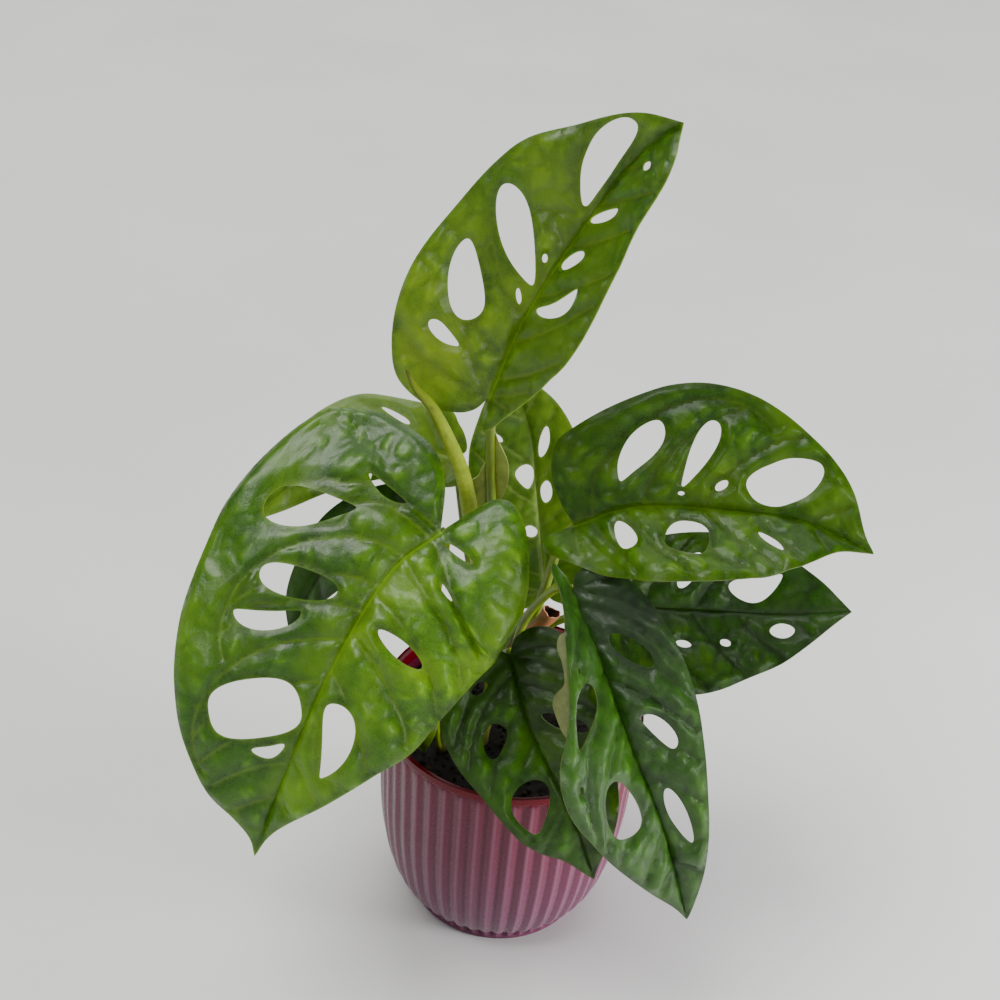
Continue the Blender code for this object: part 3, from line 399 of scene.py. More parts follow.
def even_points(line, step):
    """The line again, with points about one step apart and both ends kept."""
    run = lengths(line)
    count = max(2, int(round(run[-1] / step)) + 1)
    at = np.linspace(0, run[-1], count)
    return np.stack([np.interp(at, run, line[:, k]) for k in range(line.shape[1])], -1)


def ease(share):
    """Smooth step from 0 to 1."""
    share = np.clip(share, 0, 1)
    return share * share * (3 - 2 * share)


class Blade:
    """A leaf's curved surface, found from millimetres along the midrib and across it."""

    def __init__(self, midrib, face, fold, curl):
        self.line = smooth_line(midrib, 24)
        self.run = lengths(self.line)
        self.length = self.run[-1]
        self.ahead = unit(np.gradient(self.line, self.run, axis=0))
        self.face = [unit(np.array(f, float)) for f in face]
        self.fold = np.radians(np.array(fold, float))
        self.curl = np.radians(np.array(curl, float)) / CURL_LENGTH

    def frame(self, along):
        """The midrib's point, its directions ahead, up and left, and the share of its length."""
        held = np.clip(along, 0, self.length)
        centre = np.stack([np.interp(held, self.run, self.line[:, k]) for k in range(3)], -1)
        ahead = unit(np.stack([np.interp(held, self.run, self.ahead[:, k]) for k in range(3)], -1))
        centre = centre + ahead * (along - held)[..., None]
        share = (held / self.length)[..., None]
        up = self.face[0] * (1 - share) + self.face[1] * share
        up = unit(up - (up * ahead).sum(-1, keepdims=True) * ahead)
        return centre, ahead, up, np.cross(up, ahead), share[..., 0]

    def point(self, along, across):
        """Across counts up to the left. Each half leaves the midrib at its fold and bends down again."""
        centre, _, up, left, share = self.frame(along)
        side = np.where(across >= 0, 0, 1)
        fold = self.fold[0][side] * (1 - share) + self.fold[1][side] * share
        curl = self.curl[side]
        width = np.abs(across)
        out = (np.sin(fold) - np.sin(fold - curl * width)) / curl
        rise = (np.cos(fold - curl * width) - np.cos(fold)) / curl
        return centre + left * (np.sign(across) * out)[..., None] + up * rise[..., None]


def edge_loop(leaf, length, step):
    """The blade's outline, anticlockwise: back along the right half and out along the left."""
    left = smooth_line([(0, 0), *leaf["left"], (length, 0)], 8)
    right = smooth_line([(0, 0), *[(a, -b) for a, b in leaf["right"]], (length, 0)], 8)
    return np.vstack([even_points(right, step), even_points(left, step)[-2:0:-1]])


def hole_loop(step, along, across, length, width, turn, egg=0.0, bend=0.0, square=0.0, point=0.0):
    """One hole in the blade: an oval, blunter at one end, bowed, squared and pointed as asked."""
    count = max(12, int(round(pi * (length + width) / 2 / step)))
    t = np.linspace(0, 2 * pi, count, endpoint=False)
    power = 1 - SQUARE_POWER * square
    inner = ((1 - np.cos(t)) / 2) ** 2
    x = length / 2 * np.sign(np.cos(t)) * np.abs(np.cos(t)) ** power * (1 + POINT_REACH * point * inner)
    y = width / 2 * np.sign(np.sin(t)) * np.abs(np.sin(t)) ** power * (1 + egg * np.cos(t))
    y = y * (1 - point * inner) + bend * (np.cos(t) ** 2 - 0.5)
    x = x + HOLE_RIPPLE * length * np.sin(3 * t + along)
    side = 1 if across >= 0 else -1
    a = radians(turn)
    return np.stack([along + x * cos(a) - y * sin(a), across + side * (x * sin(a) + y * cos(a))], -1)


def inside(points, loop):
    """Which of the points lie inside the closed loop."""
    found = np.zeros(len(points), bool)
    for (x0, y0), (x1, y1) in zip(loop, np.roll(loop, -1, axis=0)):
        if y0 != y1:
            crosses = (y0 > points[:, 1]) != (y1 > points[:, 1])
            found ^= crosses & (points[:, 0] < (x1 - x0) * (points[:, 1] - y0) / (y1 - y0) + x0)
    return found


def filled(points, outline, holes):
    """Which of the points lie inside the outline and in none of the holes."""
    found = inside(points, outline)
    for hole in holes:
        found &= ~inside(points, hole)
    return found


def distances(points, targets):
    """How far each point is from the nearest of the targets."""
    tree = kdtree.KDTree(len(targets))
    for k, target in enumerate(targets):
        tree.insert((target[0], target[1], 0.0), k)
    tree.balance()
    return np.array([tree.find((x, y, 0.0))[2] for x, y in points])


def grid_points(outline, holes, taken, step):
    """A staggered grid inside the outline that stays clear of the points already taken."""
    low, high = outline.min(axis=0), outline.max(axis=0)
    rows = np.arange(low[1], high[1], step * ROW_SHARE)
    along = np.arange(low[0], high[0], step)
    grid = np.array([(x + step / 2 * (j % 2), y) for j, y in enumerate(rows) for x in along])
    grid = grid[filled(grid, outline, holes)]
    return grid[distances(grid, taken) > step * CLEAR_SHARE]


def flat_mesh(outline, holes, chains, step):
    """Points and triangles that fill the outline, leave the holes and have edges along the chains."""
    parts = [(outline, True), *[(hole, True) for hole in holes], *[(chain, False) for chain in chains]]
    taken = np.vstack([part for part, _ in parts])
    edges = []
    first = 0
    for part, closed in parts:
        last = len(part) if closed else len(part) - 1
        edges += [(first + k, first + (k + 1) % len(part)) for k in range(last)]
        first += len(part)
    points = np.vstack([taken, grid_points(outline, holes, taken, step)])
    flat, _, triangles, *_ = delaunay_2d_cdt([Vector(p) for p in points], edges, [], 0, 1e-4)
    flat = np.array([tuple(p) for p in flat])
    triangles = np.array(triangles)
    a, b, c = (flat[triangles[:, k]] for k in range(3))
    turn = (b[:, 0] - a[:, 0]) * (c[:, 1] - a[:, 1]) - (b[:, 1] - a[:, 1]) * (c[:, 0] - a[:, 0])
    triangles = np.where(turn[:, None] > 0, triangles, triangles[:, ::-1])
    triangles = triangles[filled((a + b + c) / 3, outline, holes) & (np.abs(turn) > 1e-6)]
    used = np.unique(triangles)
    return flat[used], np.searchsorted(used, triangles)


def hole_feet(leaf, side):
    """Where veins beside this half's larger holes would leave the midrib, and at what angle."""
    feet = []
    for along, across, long_axis, _, turn, *_ in leaf["holes"]:
        if across * side > 0 and long_axis > 10:
            angle = min(80, max(38, turn))
            feet.append((along - abs(across) / np.tan(radians(angle)), angle))
    return sorted(feet)


def vein_starts(leaf, side, length):
    """Where the side veins leave the midrib: between the holes, and evenly where there are none."""
    feet = [foot for foot, _ in hole_feet(leaf, side) if 2 < foot < length * 0.8]
    marks = [0.0, *feet, length * 0.86]
    starts = [0.6]
    for low, high in zip(marks[:-1], marks[1:]):
        between = max(1, int(round((high - low) / 21)))
        starts += [low + (high - low) * (k + 0.5) / between for k in range(between)]
    return [s for n, s in enumerate(starts) if n == 0 or s - starts[n - 1] > 5]


def vein_heading(leaf, side, start, length):
    """The angle at which a vein leaves the midrib: like its neighbouring holes, flatter at the tip."""
    feet = hole_feet(leaf, side)
    plain = 60 - 24 * start / length
    if not feet:
        return radians(plain)
    near = np.interp(start, [f for f, _ in feet], [angle for _, angle in feet])
    away = min(abs(start - f) for f, _ in feet)
    share = exp(-away / 18)
    return radians(min(72, near * share + plain * (1 - share)))


def round_holes(line, holes, side):
    """Push the line's points out of the holes, which always lie between two veins."""
    for along, across, long_axis, short_axis, turn, *_ in holes:
        a = radians(turn)
        axis = np.array([cos(a), side * sin(a)])
        other = np.array([-axis[1], axis[0]])
        half = np.array([long_axis, short_axis]) / 2 + VEIN_CLEAR
        local = np.stack([(line - (along, across)) @ axis, (line - (along, across)) @ other], -1)
        x = np.clip(local[:, 0] / half[0], -1, 1)
        limit = half[1] * np.sqrt(1 - x**2)
        within = np.abs(local[:, 1]) < limit
        sign = 1 if local[within, 1].sum() > 0 else -1
        pushed = np.where(within, sign * limit, local[:, 1])
        line = np.array([along, across]) + local[:, :1] * axis + pushed[:, None] * other
    return line


def vein_line(foot, turn, side):
    """A vein from its foot, with its heading at each step."""
    step = np.stack([np.cos(turn), side * np.sin(turn)], -1) * VEIN_STEP
    return np.array(foot) + np.cumsum(step, axis=0) - step[0]


def side_veins(leaf, length, outline):
    """The veins on both halves, each leaving the midrib and sweeping forward before the margin."""
    veins = []
    fence = even_points(np.vstack([outline, outline[:1]]), 0.8)
    run = np.arange(0, VEIN_REACH, VEIN_STEP)
    bend = radians(16) * np.exp(-run / 12)
    sweep = radians(34) * (run / 60) ** 2
    low_run = np.arange(0, LOW_VEIN_REACH, VEIN_STEP)
    for side in (1, -1):
        lines = [vein_line((start, 0.0), vein_heading(leaf, side, start, length) + bend - sweep, side)
                 for start in vein_starts(leaf, side, length)]
        lines += [vein_line((0.5, side * 0.4), radians(angle) - radians(52) * (low_run / 60), side)
                  for angle in LOW_VEIN_ANGLES]
        holes = [h for h in leaf["holes"] if h[1] * side > 0]
        veins += [trim(round_holes(line, holes, side), outline, fence) for line in lines]
    return [vein for vein in veins if len(vein) > 4]


def trim(line, outline, fence):
    """The first stretch of the line that stays well inside the outline."""
    good = inside(line, outline) & (distances(line, fence) > VEIN_INSET)
    good[:2] = inside(line[:2], outline)
    bad = np.flatnonzero(~good)
    return line[:bad[0]] if len(bad) else line


def clear_of(lines, holes, crossing):
    """Drop the points that fall in a hole or close to an earlier line, so that lines never cross."""
    kept = []
    for line in lines:
        good = np.ones(len(line), bool)
        for hole in holes:
            good &= ~inside(line, hole)
        if kept:
            good &= distances(line, np.vstack(kept)) > crossing
        bad = np.flatnonzero(~good[2:])
        line = line[:bad[0] + 2] if len(bad) else line
        if len(line) > 3:
            kept.append(line)
    return kept


def wave(points, size, seed):
    """Smooth noise from -1 to 1 over flat points, with features of about this size."""
    return np.array([noise.noise(Vector((x / size, y / size, seed))) for x, y in points])


def pillows(points, size, seed):
    """Rounded cushions of about this size with soft creases between them, from 0 to 1."""
    found = []
    for x, y in points:
        near = noise.voronoi(Vector((x / size, y / size, seed)))[0]
        found.append(near[1] - near[0])
    return ease(np.array(found) / 0.55)


class Relief:
    """What the flat leaf carries: distances to midrib, veins and edges, and its height."""

    def __init__(self, flat, blade, veins, borders, look, seed):
        fine = [even_points(vein, 0.6) for vein in veins]
        self.vein = distances(flat, np.vstack(fine)) if fine else np.full(len(flat), 99.0)
        beyond = np.maximum(0, -flat[:, 0]) + np.maximum(0, flat[:, 0] - blade.length)
        self.rib = np.hypot(flat[:, 1], beyond)
        self.edge = distances(flat, np.vstack([even_points(np.vstack([b, b[:1]]), 0.6) for b in borders]))
        bent = flat + np.stack([wave(flat, 11, seed + 2), wave(flat, 11, seed + 5)], -1) * 2.5
        broad, small = PUCKER_SIZES
        self.pucker = 0.65 * pillows(bent, broad, seed) + 0.35 * pillows(bent, small, seed + 3)
        self.roll = wave(flat, ROLL_SIZE, seed + 4)
        nearest = np.minimum(self.vein, self.rib * 0.7)
        wide, narrow = CREASE_REACHES
        room = 1 - 0.5 * np.exp(-(nearest / wide) ** 2) - 0.5 * np.exp(-nearest / narrow)
        free = ease(self.edge / 5 + 0.15)
        self.bulge = room * free
        self.height = look["swell"] * self.bulge * (0.75 + 0.6 * self.roll)
        self.height += look["pucker"] * (self.pucker - 0.4) * (0.3 + 0.7 * room) * free
        self.height += ROLL_HEIGHT * self.roll * ease(self.rib / 14)
        self.height -= GROOVE_DEPTH * np.exp(-(self.rib / GROOVE_REACH) ** 2)


def neighbour_mean(values, pairs, count):
    """Each point's values averaged with those of the points it shares an edge with."""
    total = values.copy()
    share = np.ones(count)
    for a, b in ((pairs[:, 0], pairs[:, 1]), (pairs[:, 1], pairs[:, 0])):
        np.add.at(total, a, values[b])
        np.add.at(share, a, 1)
    return total / share[:, None]


def loosened(points, flat, triangles, blade):
    """The surface smoothed where a sharp bend of the midrib gathers or stretches it."""
    sides = np.sort(np.vstack([triangles[:, (0, 1)], triangles[:, (1, 2)], triangles[:, (2, 0)]]), axis=1)
    pairs, uses = np.unique(sides, axis=0, return_counts=True)
    count = len(flat)
    border = np.zeros(count, bool)
    border[pairs[uses == 1].ravel()] = True
    inner = pairs[~(border[pairs].any(axis=1) & (uses == 2))]
    ahead = blade.point(flat[:, 0] + 0.5, flat[:, 1]) - blade.point(flat[:, 0] - 0.5, flat[:, 1])
    weight = ease((np.abs(np.linalg.norm(ahead, axis=1) - 1) - LOOSEN_FROM) / 0.3)[:, None]
    for _ in range(LOOSEN_SPREAD):
        weight = neighbour_mean(weight, pairs, count)
    weight = np.clip(weight * 1.5, 0, 1)
    for _ in range(LOOSEN_ROUNDS):
        mean = np.where(border[:, None], neighbour_mean(points, inner, count),
                        neighbour_mean(points, pairs, count))
        points = points + (mean - points) * weight
    return points


def facing(points, triangles):
    """The direction each point of the surface looks in."""
    a, b, c = (points[triangles[:, k]] for k in range(3))
    turned = np.cross(b - a, c - a)
    total = np.zeros_like(points)
    for k in range(3):
        np.add.at(total, triangles[:, k], turned)
    return unit(total)


def painted_lighting_of(flat, painted_lighting):
    """How strongly each point takes its painted light or shade, from 0 to 1, round the middle of the patch.
    """
    if painted_lighting is None:
        return np.zeros(len(flat))
    along, across, reach = painted_lighting
    return np.exp(-(np.hypot(flat[:, 0] - along, flat[:, 1] - across) / reach) ** 2)


def blade_mesh(leaf, blade, look, seed):
    """Points, faces, face kinds and values of one blade with both faces and its margin."""
    outline = edge_loop(leaf, blade.length, EDGE_STEP)
    holes = [hole_loop(EDGE_STEP, *hole) for hole in leaf["holes"]]
    holes += [hole_loop(SPECK_STEP, *speck) for speck in leaf.get("specks", ())]
    veins = clear_of(side_veins(leaf, blade.length, outline), holes, 1.3)
    along = np.arange(1.0, blade.length - 2, VEIN_STEP)
    midribs = [np.stack([along, along * 0 + across], -1) for across in (0.0, 1.0, -1.0)]
    chains = [line[1:] for line in veins]
    chains = [line[np.abs(line[:, 1]) > 1.6] for line in chains]
    flat, triangles = flat_mesh(outline, holes, [*midribs, *[c for c in chains if len(c) > 2]], GRID_STEP)
    relief = Relief(flat, blade, veins, [outline, *holes], look, seed)
    middle = loosened(blade.point(flat[:, 0], flat[:, 1]), flat, triangles, blade)
    out = facing(middle, triangles)
    share = np.clip(flat[:, 0] / blade.length, 0, 1)
    under = THICKNESS + 0.5 * np.exp(-(relief.vein / 0.9) ** 2) * ease(relief.edge / 4)
    top = middle + out * (relief.height + THICKNESS / 2)[:, None]
    bottom = middle + out * (relief.height + THICKNESS / 2 - under)[:, None]
    count = len(flat)
    upper = triangles
    lower = triangles[:, ::-1] + count
    sides = {(t[k], t[(k + 1) % 3]) for t in upper.tolist() for k in range(3)}
    border = [(i, j) for i, j in sorted(sides) if (j, i) not in sides]
    rim = [(i, count + i, count + j, j) for i, j in border]
    faces = [*map(tuple, upper.tolist()), *map(tuple, lower.tolist()), *rim]
    kinds = [0] * len(upper) + [1] * len(lower) + [2] * len(rim)
    values = {
        "vein": np.exp(-(relief.vein / 0.6) ** 2) * ease(relief.edge / 5),
        "rib": np.exp(-(relief.rib / (1.3 - 0.9 * share)) ** 2) * (1 - 0.8 * ease(share * 1.3 - 0.1)),
        "bulge": relief.bulge,
        "pucker": relief.pucker,
        "edge": np.exp(-(relief.edge / 0.5) ** 2),
        # side picks each point's half, whose colour the finish scales as painted light or painted shade
        "side": ease(flat[:, 1] / 5 + 0.5),
        # A patch of painted light, or on leaf_front_right of painted shade, fading out round its middle
        "painted_lighting": painted_lighting_of(flat, look.get("painted_lighting")),
    }
    place = np.stack([flat[:, 0], flat[:, 1], flat[:, 0] * 0 + seed * 40], -1) * MM
    values = {key: np.concatenate([value, value]) for key, value in values.items()}
    return np.vstack([top, bottom]), faces, kinds, values, np.vstack([place, place])


def add_object(name, points, faces, finishes, kinds=None, values=None, place=None, sharp=40):
    """Make one object from points in millimetres, with its finishes, smooth shading and values.

    Its finishes are patterned by place, in metres: the points themselves, unless others are given.
    """
    points = np.array(points, float) * MM
    mesh = bpy.data.meshes.new(name)
    mesh.from_pydata(points.tolist(), [], faces)
    for finish in finishes:
        mesh.materials.append(finish)
    if kinds is not None:
        mesh.polygons.foreach_set("material_index", kinds)
    for key, value in (values or {}).items():
        mesh.attributes.new(key, "FLOAT", "POINT").data.foreach_set("value", np.array(value, np.float32))
    layer = mesh.attributes.new("place", "FLOAT_VECTOR", "POINT")
    layer.data.foreach_set("vector", np.array(points if place is None else place, np.float32).ravel())
    mesh.validate()
    made = bpy.data.objects.new(name, mesh)
    bpy.context.scene.collection.objects.link(made)
    mesh.shade_smooth()
    mesh.set_sharp_from_angle(angle=radians(sharp))
    return made


def fit(piece, slot, *nodes):
    """Let the piece ride on the part and stand for the nodes. The slot is not used."""
    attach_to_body(piece, "root")
    if nodes:
        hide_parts(*nodes)
    return piece


def circle(count):
    return np.arange(count) * 2 * pi / count


def ring_faces(rows, count, flip=False, capped=True):
    """The faces between rings of points that start at a middle point and, where capped, end at one."""
    turn = [(k, (k + 1) % count) for k in range(count)]
    faces = [(0, 1 + b, 1 + a) for a, b in turn]
    for low in range(1, 1 + (rows - 1) * count, count):
        high = low + count
        faces += [(low + a, low + b, high + b, high + a) for a, b in turn]
    if capped:
        top = 1 + rows * count
        faces += [(top, top - count + a, top - count + b) for a, b in turn]
    return [(face[0], *face[:0:-1]) for face in faces] if flip else faces


def with_ends(first, values, last):
    """A tube's values, with those of the middle points that close its two ends."""
    return np.concatenate([[first], np.ravel(values), [last]])


def tube(line, radii, sides, reference=None, profile=None, bore=()):
    """Points and faces of a round tube with closed ends.

    The profile scales the radius round each ring, its first place looking along the reference at the far end.
    The bore's radii hollow the tube from its far end back.
    """
    line = np.array(line, float)
    ahead = unit(np.gradient(line, axis=0))
    last = len(line) - 1
    across = np.array(reference if reference is not None else unit(np.cross(ahead[-1], (0.31, 0.9, 0.2))))
    frames = [None] * len(line)
    for k in range(last, -1, -1):
        across = unit(across - (across @ ahead[k]) * ahead[k])
        frames[k] = (across, np.cross(ahead[k], across))
    rings = [*enumerate(radii), *[(last - k, radius) for k, radius in enumerate(bore)]]
    if profile is None:
        profile = np.ones((len(rings), sides))
    turns = circle(sides)
    points = [line[0] - ahead[0] * radii[0] * 0.4]
    for (k, radius), share in zip(rings, profile):
        a, b = frames[k]
        out = radius * share * np.cos(turns)
        side = radius * share * np.sin(turns)
        points += list(line[k] + out[:, None] * a + side[:, None] * b)
    end, radius = rings[-1]
    points.append(line[end] + ahead[end] * radius * 0.4)
    return points, ring_faces(len(rings), sides)


def stem_at(name, height):
    """A stem's middle, direction and radius at this height."""
    stem = STEMS[name]
    line = smooth_line(stem["line"], 12)
    centre = np.array([np.interp(height, line[:, 2], line[:, k]) for k in range(3)])
    above = np.array([np.interp(height + 2, line[:, 2], line[:, k]) for k in range(3)])
    share = (height - line[0, 2]) / (line[-1, 2] - line[0, 2])
    return centre, unit(above - centre), stem["radii"][0] * (1 - share) + stem["radii"][1] * share


def beside_stem(name, heights, side, radius):
    """Where a petiole of this radius lies against the stem, side counted in degrees from +X."""
    points = []
    for height in heights:
        centre, ahead, stem_radius = stem_at(name, height)
        out = np.array([cos(radians(side)), sin(radians(side)), 0.0])
        out = unit(out - (out @ ahead) * ahead)
        points.append(centre + out * (stem_radius + radius + STEM_GAP))
    return points


def clasped(name, attach, side, radius):
    """The start of a petiole, which leaves the stem itself just below where it lies beside it."""
    centre, _, _ = stem_at(name, attach[0] - 9)
    return [centre, *beside_stem(name, attach, side, radius)]


def leaf_blade(leaf):
    return Blade(leaf["midrib"], leaf["face"], leaf["fold"], leaf["curl"])


def make_petiole(name, leaf, finish):
    """The petiole with its groove, swollen where it meets the blade, and the rib under the blade."""
    blade = leaf_blade(leaf)
    low, high = leaf["radii"]
    route = [*clasped(leaf["stem"], leaf["attach"], leaf["side"], low), *leaf["petiole"]]
    base, ahead, up, _, _ = blade.frame(np.array(0.0))
    route.append(base - ahead * 2 - up * high * 1.4)
    petiole = even_points(smooth_line(route, 16), PETIOLE_STEP)
    share = np.linspace(0, 1, len(petiole))
    back = lengths(petiole)[-1] - lengths(petiole)
    radii = low + (high - low) * share + 0.9 * np.exp(-share * 14) + 0.28 * np.exp(-((back - 6) / 5) ** 2)
    places = smooth_line([(p, s) for p, s in zip(RIB_PLACES, RIB_SHARES)], 3)
    centre, _, up, _, _ = blade.frame(places[:, 0] * blade.length)
    rib_radii = high * places[:, 1]
    rib = centre - up * (rib_radii * 0.9 + RIB_SINK)[:, None]
    turns = circle(PETIOLE_SIDES)
    off = np.minimum(turns, 2 * pi - turns)
    groove = 1 - 0.2 * np.exp(-(off / 0.5) ** 2)
    count = len(petiole) + len(rib)
    depth = np.concatenate([ease(share * 4), np.zeros(len(rib))])[:, None]
    profile = 1 + (groove - 1) * depth
    wobble = wave(np.stack([np.arange(count) * PETIOLE_STEP, np.full(count, 7.0)], -1), 30, low)
    profile = profile * (1 + 0.05 * wobble[:, None])
    points, faces = tube(np.vstack([petiole, rib]), [*radii, *rib_radii], PETIOLE_SIDES, up[-1], profile)
    # Where the groove is, for the painted shade in it
    values = {"groove_shade": with_ends(0, np.tile(np.exp(-(off / 0.55) ** 2), count), 0)}
    return add_object(name + "_petiole", points, faces, [finish], values=values)


def sheet(name, leaf, blade, look, finishes, seed):
    points, faces, kinds, values, place = blade_mesh(leaf, blade, look, seed)
    return add_object(name, points, faces, finishes, kinds, values, place, sharp=60)


def make_leaf(name, leaf, finishes, number):
    look = LOOKS[name]
    margin = "margin_dark" if look["finish"] in DARK_FINISHES else "margin"
    blade = sheet(name + "_blade", leaf, leaf_blade(leaf), look,
                  [finishes[kind] for kind in (look["finish"], "leaf_under", margin)], number * 1.7 + 0.3)
    fit(blade, "leaf", name)
    fit(make_petiole(name, leaf, finishes["petiole"]), "leaf")
    kinds = TURNED_KINDS if name == TURNED_LEAF else SHEATH_KINDS
    for count, sheath in enumerate(leaf.get("sheaths", ())):
        skin = Blade(sheath["line"], [sheath["face"]] * 2, [sheath["fold"]] * 2, SHEATH_CURL)
        made = sheet(f"{name}_sheath_{count}", dict(sheath, holes=()), skin, SHEATH_LOOK,
                     [finishes[kind] for kind in kinds], 50 + count)
        fit(made, "leaf")


def make_rolled_leaf(finish):
    """The rolled leaf: its free edge winds round it, and the tip is drawn out and hooked."""
    route = [*clasped(ROLLED_STEM, ROLLED_ATTACH, ROLLED_SIDE, ROLLED_RADII[0]), *ROLLED_LINE]
    radii = np.interp(np.arange(len(route) * 8 - 7) / 8, np.arange(len(route)),
                      [ROLLED_RADII[0], *ROLLED_RADII])
    line = smooth_line(route, 8)
    turns = circle(ROLLED_SIDES)
    share = lengths(line) / lengths(line)[-1]
    seam = radians(205) + radians(110) * share
    off = (turns[None] - seam[:, None]) % (2 * pi)
    rolled = ease((share - 0.42) / 0.15)[:, None]
    profile = 1 + rolled * (0.16 * (1 - off / (2 * pi)) - 0.07)
    flutes = 0.02 * np.sin(off * 9 + share[:, None] * 26)
    profile = profile + rolled * flutes
    points, faces = tube(line, radii, ROLLED_SIDES, (0.3, -0.9, 0.3), profile)
    near = [np.linalg.norm(np.array(points) - spot, axis=1) for spot in ROLLED_SPOTS]
    values = {
        "along": with_ends(0, np.repeat(share, ROLLED_SIDES), 1),
        # Where the free edge lies over the roll, for the painted shade along it
        "seam": with_ends(0, np.exp(-((np.minimum(off, 2 * pi - off)) / 0.28) ** 2) * rolled, 0),
        "spot": np.exp(-(np.min(near, axis=0) / 0.9) ** 2),
    }
    made = add_object("rolled_leaf_skin", points, faces, [finish], values=values, sharp=30)
    return fit(made, "young", "rolled_leaf")


def attached(name):
    heights = [leaf["attach"][0] - 6 for leaf in LEAVES.values() if leaf["stem"] == name]
    return heights + ([ROLLED_ATTACH[0] - 6] if name == ROLLED_STEM else [])


def make_stem(name, stem, finishes):
    """A stem with a raised ring and a paler band where each leaf leaves it."""
    line = even_points(smooth_line(stem["line"], 24), 1.5)
    share = np.linspace(0, 1, len(line))
    radii = stem["radii"][0] + (stem["radii"][1] - stem["radii"][0]) * share
    node = sum(np.exp(-((line[:, 2] - h) / 1.6) ** 2) for h in attached(name))
    radii = radii + 0.45 * node
    lumps = wave(np.stack([line[:, 2], np.full(len(line), stem["radii"][0] * 9)], -1), 14, 3.0)
    profile = (1 + 0.05 * lumps)[:, None] * np.ones(STEM_SIDES)
    points, faces = tube(line, radii, STEM_SIDES, profile=profile)
    values = {"node": with_ends(0, np.repeat(node, STEM_SIDES), 0)}
    made = add_object(name + "_bark", points, faces, [finishes["stem"]], values=values)
    fit(made, "stem", name)
    if "stub" in stem:
        fit(make_stub(name, stem["stub"], finishes), "stem")


def make_stub(name, stub, finishes):
    """The hollow stub of a cut leaf, with a torn lip and the inside of its sheath, dark brown and made
    nearly black as painted shade.
    """
    line = smooth_line(stub["line"], 6)
    at = np.arange(len(line)) / 6
    radii = np.interp(at, np.arange(len(stub["radii"])), stub["radii"])
    lip = stub["radii"][-1]
    bore = np.interp(np.arange(10), (0, 1, 9), (lip - 0.5, stub["bore"][0], stub["bore"][1]))
    turns = circle(STUB_SIDES)
    rows = len(radii) + len(bore)
    torn = 1 + 0.10 * np.sin(turns * 2 + 0.6) + 0.05 * np.sin(turns * 5)
    near = ease((np.arange(rows) - len(radii) + 10) / 10)[:, None]
    profile = 1 + (torn - 1) * near
    points, faces = tube(line, radii, STUB_SIDES, profile=profile, bore=bore)
    points = np.array(points)
    outer = len(radii) * STUB_SIDES
    ahead = unit(line[-1] - line[-3])
    wavy = ahead * (0.8 * np.sin(turns * 2 + 1.2) + 0.35 * np.sin(turns * 7))[:, None]
    points[1 + outer - STUB_SIDES:1 + outer + STUB_SIDES] += np.vstack([wavy, wavy])
    kinds = [0] * outer + [1] * STUB_SIDES + [2] * (len(faces) - outer - STUB_SIDES)
    # The hollow's faces take the dark finish of painted shade
    parts = [finishes["stub"], finishes["stub_lip"], finishes["stub_inside_shaded"]]
    return add_object(name + "_stub", points, faces, parts, kinds)


def body_radius(height):
    """The pot's outside between the ribs: straight above, drawn in to the foot below."""
    if height >= BELLY_HEIGHT:
        share = (height - BELLY_HEIGHT) / (POT_HEIGHT - BELLY_HEIGHT)
        return BELLY_RADIUS + (RIM_RADIUS - BELLY_RADIUS) * share - RIB_DEPTH
    share = (BELLY_HEIGHT - height) / (BELLY_HEIGHT - FOOT_HEIGHT)
    return FOOT_RADIUS + (BELLY_RADIUS - FOOT_RADIUS) * (1 - share**2) ** 0.5 - RIB_DEPTH


def inner_radius(height):
    return body_radius(height) - WALL


def rib_depth(height):
    """How far the ribs stand out: full depth, rounded off at the foot and under the lip."""
    low = min(1.0, max(0.0, (height - FOOT_HEIGHT) / RIB_END))
    high = min(1.0, max(0.0, (RIB_TOP + RIB_END - height) / RIB_END))
    return RIB_DEPTH * (1 - (1 - low) ** 2) ** 0.5 * (1 - (1 - high) ** 2) ** 0.5


